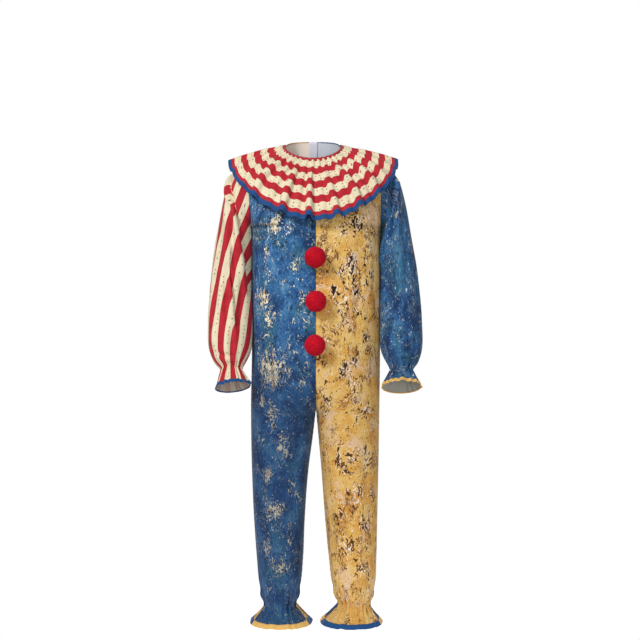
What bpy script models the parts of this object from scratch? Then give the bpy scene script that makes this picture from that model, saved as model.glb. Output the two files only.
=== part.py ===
"""A clown jumpsuit in the shape it takes when it is worn, hollow, with nobody in it.

Metres, +Z up, the front towards -Y, the wearer's left towards +X. The origin is where
the wearer's shoulders hold the suit up: in the middle, at the height of the neck's side.

Every cloth piece is a thin wall. Its outer face is a grid of points worked out from the
suit's sections, its inner face is the same grid moved in by the wall, and rims join them.
"""
import math

import bmesh
import bpy
import numpy as np

# --- cloth --------------------------------------------------------------------------------
WALL = 0.0015            # polyester print, with its seam allowances
TRIM_WALL = 0.0009       # binding tape and elastic
GAP = 0.0003             # between pieces that are sewn together
HALF_GAP = GAP / 2 + 0.00002

# --- heights ------------------------------------------------------------------------------
SHOULDER_Z = -0.037      # end of the shoulder seam
ARMPIT_Z = -0.235
FORK_Z = -0.620          # where the body starts to part into legs
CROTCH_Z = -0.783
ELASTIC_TOP_Z = -1.352
ELASTIC_LOW_Z = -1.366
HEM_Z = -1.4115

# --- body and legs, as distances from the middle ------------------------------------------
BODY_HALF = 0.192
ARMHOLE_HALF_DEPTH = 0.078
SECTION_POWER = 2.3      # 2 is an ellipse, more is boxier
LEG_OUTER = {
    -1: [(FORK_Z, 0.192), (CROTCH_Z, 0.1945), (-0.945, 0.192), (-1.125, 0.184),
         (-1.215, 0.177), (-1.305, 0.166), (ELASTIC_TOP_Z, 0.153)],
    1: [(FORK_Z, 0.192), (CROTCH_Z, 0.1895), (-0.945, 0.187), (-1.125, 0.183),
        (-1.215, 0.181), (-1.305, 0.175), (ELASTIC_TOP_Z, 0.160)],
}
LEG_INNER = {
    -1: [(CROTCH_Z, 0.0005), (-0.855, 0.009), (-0.945, 0.021), (-1.125, 0.0345),
         (-1.215, 0.038), (-1.305, 0.047), (ELASTIC_TOP_Z, 0.059)],
    1: [(CROTCH_Z, 0.0005), (-0.855, 0.007), (-0.945, 0.015), (-1.125, 0.029),
        (-1.215, 0.038), (-1.305, 0.050), (ELASTIC_TOP_Z, 0.065)],
}
HEM_OUTER = {-1: 0.197, 1: 0.199}
HEM_INNER = {-1: 0.0120, 1: 0.0130}
HEM_DEPTH = 0.085
FRONT_DEPTH = [(ARMPIT_Z, 0.118), (-0.45, 0.120), (FORK_Z, 0.122), (CROTCH_Z, 0.108),
               (-1.04, 0.086), (-1.20, 0.080), (-1.30, 0.067), (ELASTIC_TOP_Z, 0.050)]
BACK_DEPTH = [(ARMPIT_Z, 0.116), (-0.40, 0.114), (FORK_Z, 0.130), (CROTCH_Z, 0.114),
              (-1.04, 0.088), (-1.20, 0.084), (-1.30, 0.069), (ELASTIC_TOP_Z, 0.050)]

# --- neck and collar ----------------------------------------------------------------------
NECK_HALF = 0.0815
NECK_DEPTH = 0.066
NECK_SIDE_Z = 0.010
NECK_FRONT_Z = -0.036
NECK_BACK_Z = 0.0355
NECK_SHIFT = -0.009      # the neck sits a little to the wearer's right
COLLAR_HALF = 0.2555
COLLAR_FRONT_Y = 0.158
COLLAR_BACK_Y = 0.160
COLLAR_SIDE_Z = -0.036
COLLAR_FRONT_Z = -0.223
COLLAR_BACK_Z = -0.140
COLLAR_OUT = 0.0028      # the collar's neck edge stands off the body's
COLLAR_SPLIT = (0.0085, 0.015)   # half the opening at the back: at the neck, at the hem
COLLAR_LONG = 0.190      # from neck to hem
COLLAR_CROWN = 0.006     # how far it arches over the chest and the shoulders' ends
COLLAR_SHOULDER_CROWN = 0.019
BAND_WIDTH = 0.009
NECK_SHARE = 3.0 / 8.0   # how much of a panel's width the neck edge takes
CHEST_POWER = 1.8        # how full the chest and back stay below the shoulders
SHOULDER_FULLNESS = 0.35
HEM_POWER = 1.35         # how soon the collar's hem falls away from the shoulders
CROWN_POWER = 1.3        # over 1, the collar's crown sits nearer to its hem

# --- zip ----------------------------------------------------------------------------------
ZIP_LOW_Z = -0.470
ZIP_SLOT = 0.0046        # half the slot between the two folded edges
TAPE_HALF = 0.013
TAPE_DEPTH = 0.0032      # the tape's face behind the backs' outer face, clear of their curve
SLIDER_Z = 0.018         # the slider's middle, just under the neck's edge
SLIDER_SIZE = (0.0080, 0.0100, 0.0030)
BRIDGE_LONG = 0.0068
BRIDGE_WIDE = 0.0018
BRIDGE_HIGH = 0.0031
BRIDGE_FOOT = 0.0008     # thickness of the bridge's two feet
BRIDGE_SUNK = 0.0004     # how far they are let into the slider's top
BRIDGE_LAP = 0.0001      # how far the beam laps past them
BEAM_THICK = 0.0007
BEAM_SUNK = 0.0005       # how far they are let into the beam
PIN_RADIUS = 0.0007
PIN_HEIGHT = 0.0012      # the pull's pin above the slider's top
PULL_SIZE = (0.0070, 0.0250, 0.0012)
PULL_WINDOW = (0.0034, 0.0050)
SLIDER_BASE = GAP - TAPE_DEPTH   # the slider's underside, just over the tape

# --- sleeves: outer point (x, z), inner point (x, z), half depth, forward, tilt in degrees ---
SLEEVE_RINGS = {
    -1: [((0.1924, SHOULDER_Z), (0.1924, ARMPIT_Z), 0.078, 0.000, 0),
         ((0.222, -0.052), (0.1936, -0.2405), 0.079, 0.000, 0),
         ((0.245, -0.078), (0.1938, -0.247), 0.079, 0.000, 0),
         ((0.2615, -0.106), (0.1940, -0.257), 0.080, 0.000, 0),
         ((0.2800, -0.171), (0.1942, -0.286), 0.079, 0.000, 0),
         ((0.2940, -0.240), (0.1944, -0.326), 0.078, 0.001, 0),
         ((0.3060, -0.315), (0.1946, -0.375), 0.076, 0.003, 2),
         ((0.3155, -0.410), (0.1950, -0.440), 0.074, 0.011, 6),
         ((0.3200, -0.515), (0.1960, -0.522), 0.073, 0.032, 13),
         ((0.3170, -0.588), (0.1985, -0.586), 0.068, 0.050, 17),
         ((0.3020, -0.630), (0.2050, -0.626), 0.053, 0.061, 19),
         ((0.2800, -0.653), (0.2160, -0.650), 0.036, 0.068, 20),
         ((0.2800, -0.662), (0.2160, -0.659), 0.036, 0.071, 20),
         ((0.2935, -0.711), (0.1900, -0.698), 0.055, 0.086, 20)],
    1: [((0.1924, SHOULDER_Z), (0.1924, ARMPIT_Z), 0.078, 0.000, 0),
        ((0.222, -0.052), (0.1936, -0.2405), 0.079, 0.000, 0),
        ((0.245, -0.078), (0.1938, -0.247), 0.079, 0.000, 0),
        ((0.2585, -0.106), (0.1940, -0.257), 0.080, 0.000, 0),
        ((0.2715, -0.171), (0.1942, -0.286), 0.079, 0.000, 0),
        ((0.2820, -0.240), (0.1944, -0.326), 0.078, 0.001, 0),
        ((0.2945, -0.315), (0.1946, -0.375), 0.076, 0.003, 2),
        ((0.3060, -0.410), (0.1950, -0.440), 0.074, 0.011, 6),
        ((0.3140, -0.515), (0.1960, -0.522), 0.073, 0.032, 13),
        ((0.3140, -0.588), (0.1985, -0.586), 0.068, 0.050, 17),
        ((0.3020, -0.630), (0.2060, -0.626), 0.053, 0.061, 20),
        ((0.2850, -0.653), (0.2170, -0.650), 0.036, 0.068, 22),
        ((0.2850, -0.662), (0.2170, -0.659), 0.036, 0.071, 22),
        ((0.3080, -0.704), (0.1910, -0.704), 0.056, 0.088, 24)],
}
WRIST_RING = 11
SLEEVE_CLEAR = 0.0004    # between the body's side and the sleeve's inner side

# --- trims --------------------------------------------------------------------------------
BINDING_WIDE = 0.012
BAND_CLEAR = 0.0002      # added to GAP between the cloth and the elastic inside it
POM_RADIUS = 0.0315
POM_SEAT = 0.86          # share of the radius from the seat to the ball's middle
POM_CLEAR = 0.0010       # between the chest and the ball's flat side
POM_PLACES = {"pompom_top": (-0.0015, -0.331), "pompom_middle": (0.0005, -0.457),
              "pompom_bottom": (-0.0020, -0.582)}

# --- how finely the pieces are faceted ----------------------------------------------------
PANEL_COLUMNS = 8
SLEEVE_COLUMNS = 16
COLLAR_COLUMNS = 48
UPPER_ROWS = 6
LOWER_Z = [-0.33, -0.43, -0.53, FORK_Z, -0.675, -0.722, -0.757, CROTCH_Z, -0.802, -0.86,
           -0.95, -1.04, -1.13, -1.21, -1.28, -1.325, ELASTIC_TOP_Z, ELASTIC_LOW_Z,
           -1.384, HEM_Z + 0.0085, HEM_Z]

BLUE_PRINT = (0.05, 0.14, 0.34)
YELLOW_PRINT = (0.77, 0.46, 0.12)
STRIPES = (0.75, 0.45, 0.35)
RED = (0.55, 0.01, 0.03)
BLUE_TAPE = (0.02, 0.10, 0.36)
YELLOW_TAPE = (0.75, 0.44, 0.15)
WHITE = (0.75, 0.75, 0.78)
METAL = (0.70, 0.70, 0.72)


# --- curves and normals -------------------------------------------------------------------
def ease(t):
    """0 to 1 with level ends."""
    t = np.clip(t, 0.0, 1.0)
    return t * t * (3.0 - 2.0 * t)


def through(points, at):
    """The smooth curve through (x, y) points, at the given x: cubic steps between them."""
    xs, ys = np.array(sorted(points), dtype=float).T
    slopes = np.gradient(ys, xs)
    at = np.clip(np.asarray(at, dtype=float), xs[0], xs[-1])
    i = np.clip(np.searchsorted(xs, at) - 1, 0, len(xs) - 2)
    step = xs[i + 1] - xs[i]
    t = (at - xs[i]) / step
    return ((2 * t**3 - 3 * t**2 + 1) * ys[i] + (t**3 - 2 * t**2 + t) * step * slopes[i]
            + (3 * t**2 - 2 * t**3) * ys[i + 1] + (t**3 - t**2) * step * slopes[i + 1])


def unit(vectors):
    """Vectors brought to length 1."""
    return vectors / np.maximum(np.linalg.norm(vectors, axis=-1, keepdims=True), 1e-12)


def grid_normals(grid, closed=False):
    """Normals of a grid [row, column, xyz]: down the rows crossed with along the columns."""
    down = np.gradient(grid, axis=0)
    if closed:
        along = np.roll(grid, -1, axis=1) - np.roll(grid, 1, axis=1)
    else:
        along = np.gradient(grid, axis=1)
    return unit(np.cross(down, along))


def lean(grid):
    """Moves the upper body sideways so that the neck sits at NECK_SHIFT."""
    moved = grid.copy()
    rise = (grid[..., 2] - ARMPIT_Z) / -ARMPIT_Z
    moved[..., 0] += NECK_SHIFT * ease(rise)
    return moved


# --- meshes -------------------------------------------------------------------------------
def add_object(name, points, faces, colour, roughness=0.85, metallic=0.0, parent=None):
    """A closed mesh as an object, its faces turned outwards, with its own material."""
    mesh = bpy.data.meshes.new(name)
    mesh.from_pydata([tuple(p) for p in points], [], [tuple(f) for f in faces])
    work = bmesh.new()
    work.from_mesh(mesh)
    bmesh.ops.recalc_face_normals(work, faces=work.faces)
    work.to_mesh(mesh)
    work.free()
    made = bpy.data.objects.new(name, mesh)
    bpy.context.collection.objects.link(made)
    material = bpy.data.materials.new(name + "_finish")
    material.use_nodes = True
    shader = material.node_tree.nodes["Principled BSDF"]
    shader.inputs["Base Color"].default_value = (*colour, 1.0)
    shader.inputs["Roughness"].default_value = roughness
    shader.inputs["Metallic"].default_value = metallic
    mesh.materials.append(material)
    if parent:
        made.parent = parent
        made.matrix_parent_inverse = parent.matrix_world.inverted()
    return made


def split(quad, flip=False):
    """A quad as two triangles, so that neighbours made from the same points fold alike."""
    a, b, c, d = quad
    if flip:
        return [(a, b, d), (b, c, d)]
    return [(a, b, c), (a, c, d)]


def sweep_faces(rows, ring, closed_rows, upwards=()):
    """Faces of a closed section of `ring` points swept over `rows` places, ends capped.
    The sides listed in `upwards` run from the hem up, so their diagonals are turned."""
    faces = []
    spans = rows if closed_rows else rows - 1
    for i in range(spans):
        k = (i + 1) % rows
        for j in range(ring):
            m = (j + 1) % ring
            quad = (i * ring + j, i * ring + m, k * ring + m, k * ring + j)
            faces += split(quad, j in upwards)
    if not closed_rows:
        faces.append(tuple(range(ring))[::-1])
        faces.append(tuple((rows - 1) * ring + j for j in range(ring)))
    return faces


def add_wall(name, outer, inner, colour, closed=False):
    """A wall between two grids [row, column, xyz]; closed joins the last column to the first."""
    rows, columns = outer.shape[:2]
    count = rows * columns
    faces = []
    spans = columns if closed else columns - 1
    for i in range(rows - 1):
        for j in range(spans):
            m = (j + 1) % columns
            quad = (i * columns + j, (i + 1) * columns + j, (i + 1) * columns + m, i * columns + m)
            for triangle in split(quad):
                faces.append(triangle)
                faces.append(tuple(count + q for q in triangle[::-1]))
    for i in (0, rows - 1):
        for j in range(spans):
            a, b = i * columns + j, i * columns + (j + 1) % columns
            faces.append((a, b, count + b, count + a))
    if not closed:
        for j in (0, columns - 1):
            for i in range(rows - 1):
                a, b = i * columns + j, (i + 1) * columns + j
                faces.append((a, b, count + b, count + a))
    points = np.concatenate([outer.reshape(-1, 3), inner.reshape(-1, 3)])
    return add_object(name, points, faces, colour)


# --- body and legs ------------------------------------------------------------------------
def neck_edge(turn):
    """The body's neck edge at an angle from the front: 0 front, pi back, + to the wearer's left."""
    cosine = np.cos(turn)
    tilt = (NECK_BACK_Z - NECK_FRONT_Z) / 2
    dip = NECK_SIDE_Z - (NECK_BACK_Z + NECK_FRONT_Z) / 2
    return np.stack([NECK_HALF * np.sin(turn), -NECK_DEPTH * cosine,
                     NECK_SIDE_Z - tilt * cosine - dip * cosine**2], axis=-1)


def leg_width(side, z):
    """Middle and half width of the section at a height, and how far body has parted into leg."""
    outer = through(LEG_OUTER[side], z)
    inner = through(LEG_INNER[side], z)
    flare = np.clip((ELASTIC_LOW_Z - z) / (ELASTIC_LOW_Z - HEM_Z), 0.0, 1.0)
    outer = outer + (HEM_OUTER[side] - outer) * flare
    inner = inner + (HEM_INNER[side] - inner) * flare
    parted = np.clip((FORK_Z - z) / (FORK_Z - CROTCH_Z), 0.0, 1.0) ** 1.4
    share = np.where(z > CROTCH_Z, parted, (outer + inner) / np.maximum(outer - inner, 1e-6))
    half = np.where(z > CROTCH_Z, outer / (1.0 + share), (outer - inner) / 2)
    return outer - half, half


def depth_at(face, z):
    """Half depth of body and leg: face -1 is the front, +1 the back."""
    depth = through(FRONT_DEPTH if face < 0 else BACK_DEPTH, z)
    flare = np.clip((ELASTIC_LOW_Z - z) / (ELASTIC_LOW_Z - HEM_Z), 0.0, 1.0)
    return depth + (HEM_DEPTH - depth) * flare


def lower_row(side, face, z, u):
    """Points from the middle (u = 0) to the side seam (u = 1) at one height: a superellipse,
    cut off where it would cross the suit's middle plane."""
    middle, half = leg_width(side, z)
    share = min(float(middle / half), 1.0)
    start = math.acos(-share ** (SECTION_POWER / 2))
    angle = start * (1.0 - u)
    power = 2.0 / SECTION_POWER
    cosine, sine = np.cos(angle), np.sin(angle)
    x = middle + half * np.sign(cosine) * np.abs(cosine) ** power
    y = face * depth_at(face, z) * np.abs(sine) ** power
    return np.stack([side * x, y, np.full_like(u, z)], axis=-1)


def upper_rows(side, face, u, v):
    """Rows from the armpit (v = 0) up to the neck edge and the shoulder seam (v = 1)."""
    base = lower_row(side, face, ARMPIT_Z, u)
    turn = np.clip(u / NECK_SHARE, 0.0, 1.0) * math.pi / 2
    turn = turn if face < 0 else math.pi - turn
    top = neck_edge(turn)
    out = np.clip((u - NECK_SHARE) / (1.0 - NECK_SHARE), 0.0, 1.0)
    top[:, 0] += out * (BODY_HALF - NECK_HALF)
    top[:, 2] = np.where(out > 0, NECK_SIDE_Z + (SHOULDER_Z - NECK_SIDE_Z) * out, top[:, 2])
    top[:, 1] = np.where(out > 0, 0.0, top[:, 1])
    across = top[:, 0]
    rows = []
    for level in v:
        spread = ease(level * 1.6)
        x = np.abs(base[:, 0]) * (1 - spread) + across * spread
        round_off = 1.0 + SHOULDER_FULLNESS * np.clip(across / NECK_HALF, 0, 1) ** 2
        back_off = (1.0 - level ** CHEST_POWER) ** (1.0 / round_off)
        y = top[:, 1] + (base[:, 1] - top[:, 1]) * back_off
        bulge = ARMHOLE_HALF_DEPTH * (x / BODY_HALF) ** 3
        y = y + face * bulge * math.sqrt(max(0.0, 1.0 - (2 * level - 1) ** 2))
        z = ARMPIT_Z + (top[:, 2] - ARMPIT_Z) * level
        rows.append(np.stack([side * x, y, z], axis=-1))
    return np.array(rows)


def panel_grid(side, face):
    """The outer grid of one quarter of the body with its half leg, top row first."""
    u = np.linspace(0.0, 1.0, PANEL_COLUMNS + 1)
    steps = np.arange(UPPER_ROWS, -1, -1) / UPPER_ROWS
    v = (1.0 - np.cos(math.pi * steps)) / 2
    upper = upper_rows(side, face, u, v)
    lower = np.array([lower_row(side, face, z, u) for z in LOWER_Z])
    return np.concatenate([upper, lower])


def panel_normals(side):
    """Outward normals of the front and back grids of one side, shared along their seams."""
    normals = {}
    for face in (-1, 1):
        flip = -side * face
        normals[face] = flip * grid_normals(panel_grid(side, face))
    shared = unit(normals[-1] + normals[1])
    crotch = UPPER_ROWS + 1 + LOWER_Z.index(CROTCH_Z)
    shoulder = int(PANEL_COLUMNS * NECK_SHARE)
    for face in (-1, 1):
        normal = normals[face]
        normal[UPPER_ROWS:, -1] = shared[UPPER_ROWS:, -1]
        normal[crotch:, 0] = shared[crotch:, 0]
        normal[0, shoulder:] = shared[0, shoulder:]
        normal[:UPPER_ROWS + 4, 0, 0] = 0.0
        normal[1:UPPER_ROWS, -1, 0] = 0.0
        normals[face] = unit(normal)
    return normals


def pleats(grid, normals):
    """Gathers at the ankle: every second column stands out, more towards the hem."""
    z = grid[:, 0, 2]
    reach = np.interp(z, [HEM_Z, ELASTIC_LOW_Z, -1.325, -1.28], [0.0045, 0.0015, 0.0020, 0.0])
    columns = np.arange(grid.shape[1])
    way = np.where(columns % 2 == 0, -1.0, 1.0)
    way[[0, -1]] = 0.0
    return grid + normals * reach[:, None, None] * way[None, :, None]


def keep_apart(grid, side, face):
    """Holds a piece on its own side of the seams: the middle plane and the side plane."""
    kept = grid.copy()
    kept[..., 0] = side * np.maximum(side * kept[..., 0], HALF_GAP)
    kept[..., 1] = face * np.maximum(face * kept[..., 1], HALF_GAP)
    return kept


def zip_slot(grid, side):
    """Opens the slot for the zip: its edge runs beside the middle down to the zip's end."""
    kept = grid.copy()
    beside = kept[..., 2] > ZIP_LOW_Z
    kept[..., 0] = np.where(beside, side * np.maximum(side * kept[..., 0], ZIP_SLOT), kept[..., 0])
    return kept


def panel(side, face, move=0.0):
    """A panel's surface, moved along its normals, leaned and held off its neighbours."""
    normals = panel_normals(side)[face]
    grid = pleats(panel_grid(side, face), normals) + normals * move
    grid = keep_apart(grid, side, face)
    if face > 0:
        grid = zip_slot(grid, side)
    return lean(grid)


def build_panels():
    """Two fronts and two backs, each from the shoulder to the ankle frill."""
    colours = {("front", -1): ("front_blue", BLUE_PRINT), ("front", 1): ("front_yellow", YELLOW_PRINT),
               ("back", -1): ("back_yellow", YELLOW_PRINT), ("back", 1): ("back_blue", BLUE_PRINT)}
    for (where, side), (name, colour) in colours.items():
        face = -1 if where == "front" else 1
        add_wall(name, panel(side, face), panel(side, face, -WALL), colour)


def hem_binding(name, outer, inner, colour, closed=False):
    """Tape folded over a hem: outer and inner are the wall's last two rows, [2, column, xyz].
    The section runs up the outside, under the hem and up the inside."""
    down = unit(outer[1] - outer[0])
    out = unit(outer[1] - inner[1])
    foot_out, foot_in = outer[1], inner[1]
    top_out, top_in = outer[0], inner[0]
    tape = GAP + TRIM_WALL
    section = [top_out + out * tape, foot_out + out * tape + down * tape,
               foot_in - out * tape + down * tape, top_in - out * tape,
               top_in - out * GAP, foot_in - out * GAP + down * GAP,
               foot_out + out * GAP + down * GAP, top_out + out * GAP]
    points = np.stack(section, axis=1).reshape(-1, 3)
    return add_object(name, points, sweep_faces(outer.shape[1], len(section), closed, (2, 6)),
                      colour)


def build_ankle_bindings():
    """Each frill is bound in the other print's colour."""
    tapes = {(-1, -1): ("ankle_binding_front_yellow", YELLOW_TAPE),
             (-1, 1): ("ankle_binding_back_blue", BLUE_TAPE),
             (1, -1): ("ankle_binding_front_blue", BLUE_TAPE),
             (1, 1): ("ankle_binding_back_yellow", YELLOW_TAPE)}
    for (side, face), (name, colour) in tapes.items():
        hem_binding(name, panel(side, face)[-2:], panel(side, face, -WALL)[-2:], colour)


def build_ankle_elastics():
    """A round of elastic inside each ankle, over the rows where the leg is narrowest."""
    first = UPPER_ROWS + 1 + LOWER_Z.index(ELASTIC_TOP_Z)
    rows = slice(first, first + 2)
    for side, name in ((-1, "ankle_elastic_right"), (1, "ankle_elastic_left")):
        walls = []
        for depth in (WALL + GAP + BAND_CLEAR, WALL + GAP + BAND_CLEAR + TRIM_WALL):
            front = panel(side, -1, -depth)[rows]
            back = panel(side, 1, -depth)[rows]
            walls.append(np.concatenate([front[:, :-1], back[:, -1:0:-1]], axis=1))
        add_wall(name, walls[0], walls[1], WHITE, closed=True)


# --- sleeves ------------------------------------------------------------------------------
def sleeve_grid(side):
    """Rings from the armhole to the cuff's hem. A ring is an ellipse whose long axis joins
    its outer and inner points; the cuff end tips forward."""
    angle = 2 * math.pi * np.arange(SLEEVE_COLUMNS) / SLEEVE_COLUMNS
    rings = []
    for (out_x, out_z), (in_x, in_z), depth, forward, tilt in SLEEVE_RINGS[side]:
        middle = np.array([side * (out_x + in_x) / 2, -forward, (out_z + in_z) / 2])
        across = np.array([side * (out_x - in_x) / 2, 0.0, (out_z - in_z) / 2])
        tip = math.radians(tilt)
        ahead = np.array([0.0, -depth * math.cos(tip), depth * math.sin(tip)])
        rings.append(middle + np.outer(np.cos(angle), across) + np.outer(np.sin(angle), ahead))
    frill = np.linalg.norm(rings[-1] - rings[-2], axis=1).mean()
    rings.insert(-1, rings[-1] + (rings[-2] - rings[-1]) * BINDING_WIDE / frill)
    return np.array(rings)


def sleeve(side, move=0.0):
    """The sleeve's surface moved along its normals, gathered at the wrist."""
    grid = sleeve_grid(side)
    normals = -side * grid_normals(grid, closed=True)
    normals[0, :, 0] = 0.0
    normals = unit(normals)
    reach = np.zeros(len(grid))
    reach[WRIST_RING - 2:] = [0.0010, 0.0022, 0.0018, 0.0018, 0.0038, 0.0045]
    way = np.where(np.arange(SLEEVE_COLUMNS) % 2 == 0, -1.0, 1.0)
    grid = grid + normals * (reach[:, None] * way[None, :])[..., None] + normals * move
    nearest = BODY_HALF + SLEEVE_CLEAR
    grid[:8, :, 0] = side * np.maximum(side * grid[:8, :, 0], nearest)
    return lean(grid)


def build_sleeves():
    """One striped and one blue sleeve, each with its bound, gathered cuff and its elastic."""
    kinds = {-1: ("sleeve_striped", STRIPES, "cuff_binding_blue", BLUE_TAPE, "wrist_elastic_right"),
             1: ("sleeve_blue", BLUE_PRINT, "cuff_binding_yellow", YELLOW_TAPE,
                 "wrist_elastic_left")}
    for side, (name, colour, tape_name, tape_colour, elastic_name) in kinds.items():
        outer, inner = sleeve(side), sleeve(side, -WALL)
        add_wall(name, outer, inner, colour, closed=True)
        hem_binding(tape_name, outer[-2:], inner[-2:], tape_colour, closed=True)
        depth = WALL + GAP + BAND_CLEAR
        band = [sleeve(side, -d)[WRIST_RING:WRIST_RING + 2] for d in (depth, depth + TRIM_WALL)]
        add_wall(elastic_name, band[0], band[1], WHITE, closed=True)


# --- collar -------------------------------------------------------------------------------
def collar_hem(turn):
    """The collar's hem at an angle from the front: it lies on the shoulders and hangs in
    front and behind."""
    cosine = np.cos(turn)
    front = cosine > 0
    fall = np.where(front, COLLAR_SIDE_Z - COLLAR_FRONT_Z, COLLAR_SIDE_Z - COLLAR_BACK_Z)
    reach = np.where(front, COLLAR_FRONT_Y, COLLAR_BACK_Y)
    return np.stack([COLLAR_HALF * np.sin(turn), -reach * cosine,
                     COLLAR_SIDE_Z - fall * np.abs(cosine) ** HEM_POWER], axis=-1)


def collar_surface(r, turn):
    """Points by distance from the neck (r = 0) to the hem (r = 1) and angle from the front:
    straight lines from neck to hem, crowned most in front of and behind the shoulders."""
    neck = neck_edge(turn)
    away = np.stack([np.sin(turn), -np.cos(turn), np.full_like(turn, 0.55)], axis=-1)
    neck = neck + COLLAR_OUT * away
    hem = collar_hem(turn)
    height = COLLAR_CROWN + COLLAR_SHOULDER_CROWN * np.sin(2 * turn)**2
    crown = (np.sin(math.pi * r**CROWN_POWER) * height)[..., None] * unit(away)
    return neck + (hem - neck) * r[..., None] + crown


def collar(move=0.0):
    """The collar's surface, moved out along its normals; the first two rows carry the neck
    band and the last two the binding."""
    r = np.array([0.0, BAND_WIDTH / COLLAR_LONG, 0.30, 0.62, 1.0 - BINDING_WIDE / COLLAR_LONG, 1.0])
    half = COLLAR_SPLIT[0] + (COLLAR_SPLIT[1] - COLLAR_SPLIT[0]) * r
    opening = np.arcsin(half / (NECK_HALF + (COLLAR_HALF - NECK_HALF) * r))
    turn = np.linspace(-1.0, 1.0, COLLAR_COLUMNS + 1)[None, :] * (math.pi - opening)[:, None]
    grid = collar_surface(r[:, None], turn)
    normals = grid_normals(grid)
    reach = np.interp(r, [0.0, 0.25, 1.0], [0.0006, 0.0014, 0.0060])
    way = np.where(np.arange(COLLAR_COLUMNS + 1) % 2 == 0, -1.0, 1.0)
    way[[0, -1]] = 0.0
    grid = grid + normals * (reach[:, None] * way[None, :])[..., None] + normals * move
    return lean(grid)


def build_collar():
    """The ruffle, the blue tape round its hem and the red band at its neck."""
    outer, inner = collar(), collar(-WALL)
    add_wall("collar", outer, inner, STRIPES)
    hem_binding("collar_binding", outer[-2:], inner[-2:], BLUE_TAPE)
    add_wall("neckband", collar(GAP + TRIM_WALL)[:2], collar(GAP)[:2], RED)


# --- pompoms ------------------------------------------------------------------------------
def build_pompoms():
    """Three balls on the front seam, flat where they are sewn on."""
    for name, (x, z) in POM_PLACES.items():
        seat = -float(depth_at(-1, z)) - POM_CLEAR
        work = bmesh.new()
        bmesh.ops.create_uvsphere(work, u_segments=12, v_segments=8, radius=POM_RADIUS)
        for vert in work.verts:
            place = vert.co.copy()
            vert.co = (x + place.x, min(seat, seat - POM_RADIUS * POM_SEAT + place.y), z + place.z)
        mesh = bpy.data.meshes.new(name)
        work.to_mesh(mesh)
        work.free()
        points = [tuple(v.co) for v in mesh.vertices]
        faces = [tuple(p.vertices) for p in mesh.polygons]
        bpy.data.meshes.remove(mesh)
        add_object(name, points, faces, RED)


# --- zip ----------------------------------------------------------------------------------
def back_line(z):
    """The back's middle line at a height: its depth and its outward normal in Y and Z."""
    def depth(height):
        if height <= ARMPIT_Z:
            return float(depth_at(1, height))
        level = (height - ARMPIT_Z) / (NECK_BACK_Z - ARMPIT_Z)
        return NECK_DEPTH + (float(depth_at(1, ARMPIT_Z)) - NECK_DEPTH) * (1.0 - level ** CHEST_POWER)
    step = 0.002
    slope = (depth(min(z + step, NECK_BACK_Z)) - depth(z - step)) / (
        min(z + step, NECK_BACK_Z) - z + step)
    normal = np.array([0.0, 1.0, -slope])
    return depth(z), normal / np.linalg.norm(normal)


def build_zip_tape():
    """The zip's tape, behind the folded edges of the backs."""
    heights = np.linspace(NECK_BACK_Z - 0.006, ZIP_LOW_Z - 0.012, 14)
    walls = []
    for depth in (TAPE_DEPTH, TAPE_DEPTH + TRIM_WALL):
        rows = []
        for z in heights:
            y, normal = back_line(z)
            middle = np.array([0.0, y, z]) - normal * depth
            rows.append([middle + [x, 0.0, 0.0] for x in (-TAPE_HALF, TAPE_HALF)])
        walls.append(lean(np.array(rows)))
    add_wall("zip_tape", walls[0], walls[1], WHITE)


def zip_frame():
    """Where the slider sits: its place, the way down the zip and the way out of the back."""
    y, out = back_line(SLIDER_Z)
    place = lean(np.array([[[0.0, y, SLIDER_Z]]]))[0, 0]
    down = np.array([0.0, out[2], -out[1]])
    return place, down, out


def prism(outline, thickness, start):
    """An outline in (along, across) with a thickness upwards from a level: points and faces."""
    low = [(x, t, start) for x, t in outline]
    high = [(x, t, start + thickness) for x, t in outline]
    count = len(outline)
    faces = [tuple(range(count))[::-1], tuple(range(count, 2 * count))]
    faces += [(i, (i + 1) % count, count + (i + 1) % count, count + i) for i in range(count)]
    return low + high, faces


def rounded(width, length, radius, start=0.0, steps=3):
    """A rectangle with rounded corners, its near edge at `start` along its length."""
    outline = []
    for turn, (right, far) in enumerate(((1, 1), (0, 1), (0, 0), (1, 0))):
        middle = ((width / 2 - radius) * (1 if right else -1),
                  start + (length - radius if far else radius))
        for k in range(steps + 1):
            a = math.pi / 2 * (turn + k / steps)
            outline.append((middle[0] + radius * math.cos(a), middle[1] + radius * math.sin(a)))
    return outline


def place_in_zip(points, level):
    """Local points (across, down the zip, out) brought to the slider's place."""
    place, down, out = zip_frame()
    sideways = np.array([1.0, 0.0, 0.0])
    return [place + sideways * x + down * t + out * (n + level) for x, t, n in points]


def join_solids(name, solids, colour, roughness, metallic, level):
    """Solids in the zip's own axes joined into one body by Boolean unions."""
    made = []
    for k, (points, faces) in enumerate(solids):
        made.append(add_object(f"{name}_{k}" if k else name, place_in_zip(points, level), faces,
                               colour, roughness, metallic))
    for extra in made[1:]:
        union = made[0].modifiers.new("join", "BOOLEAN")
        union.operation = "UNION"
        union.object = extra
        extra.hide_render = True
        extra.display_type = "WIRE"
    return made[0]


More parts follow.
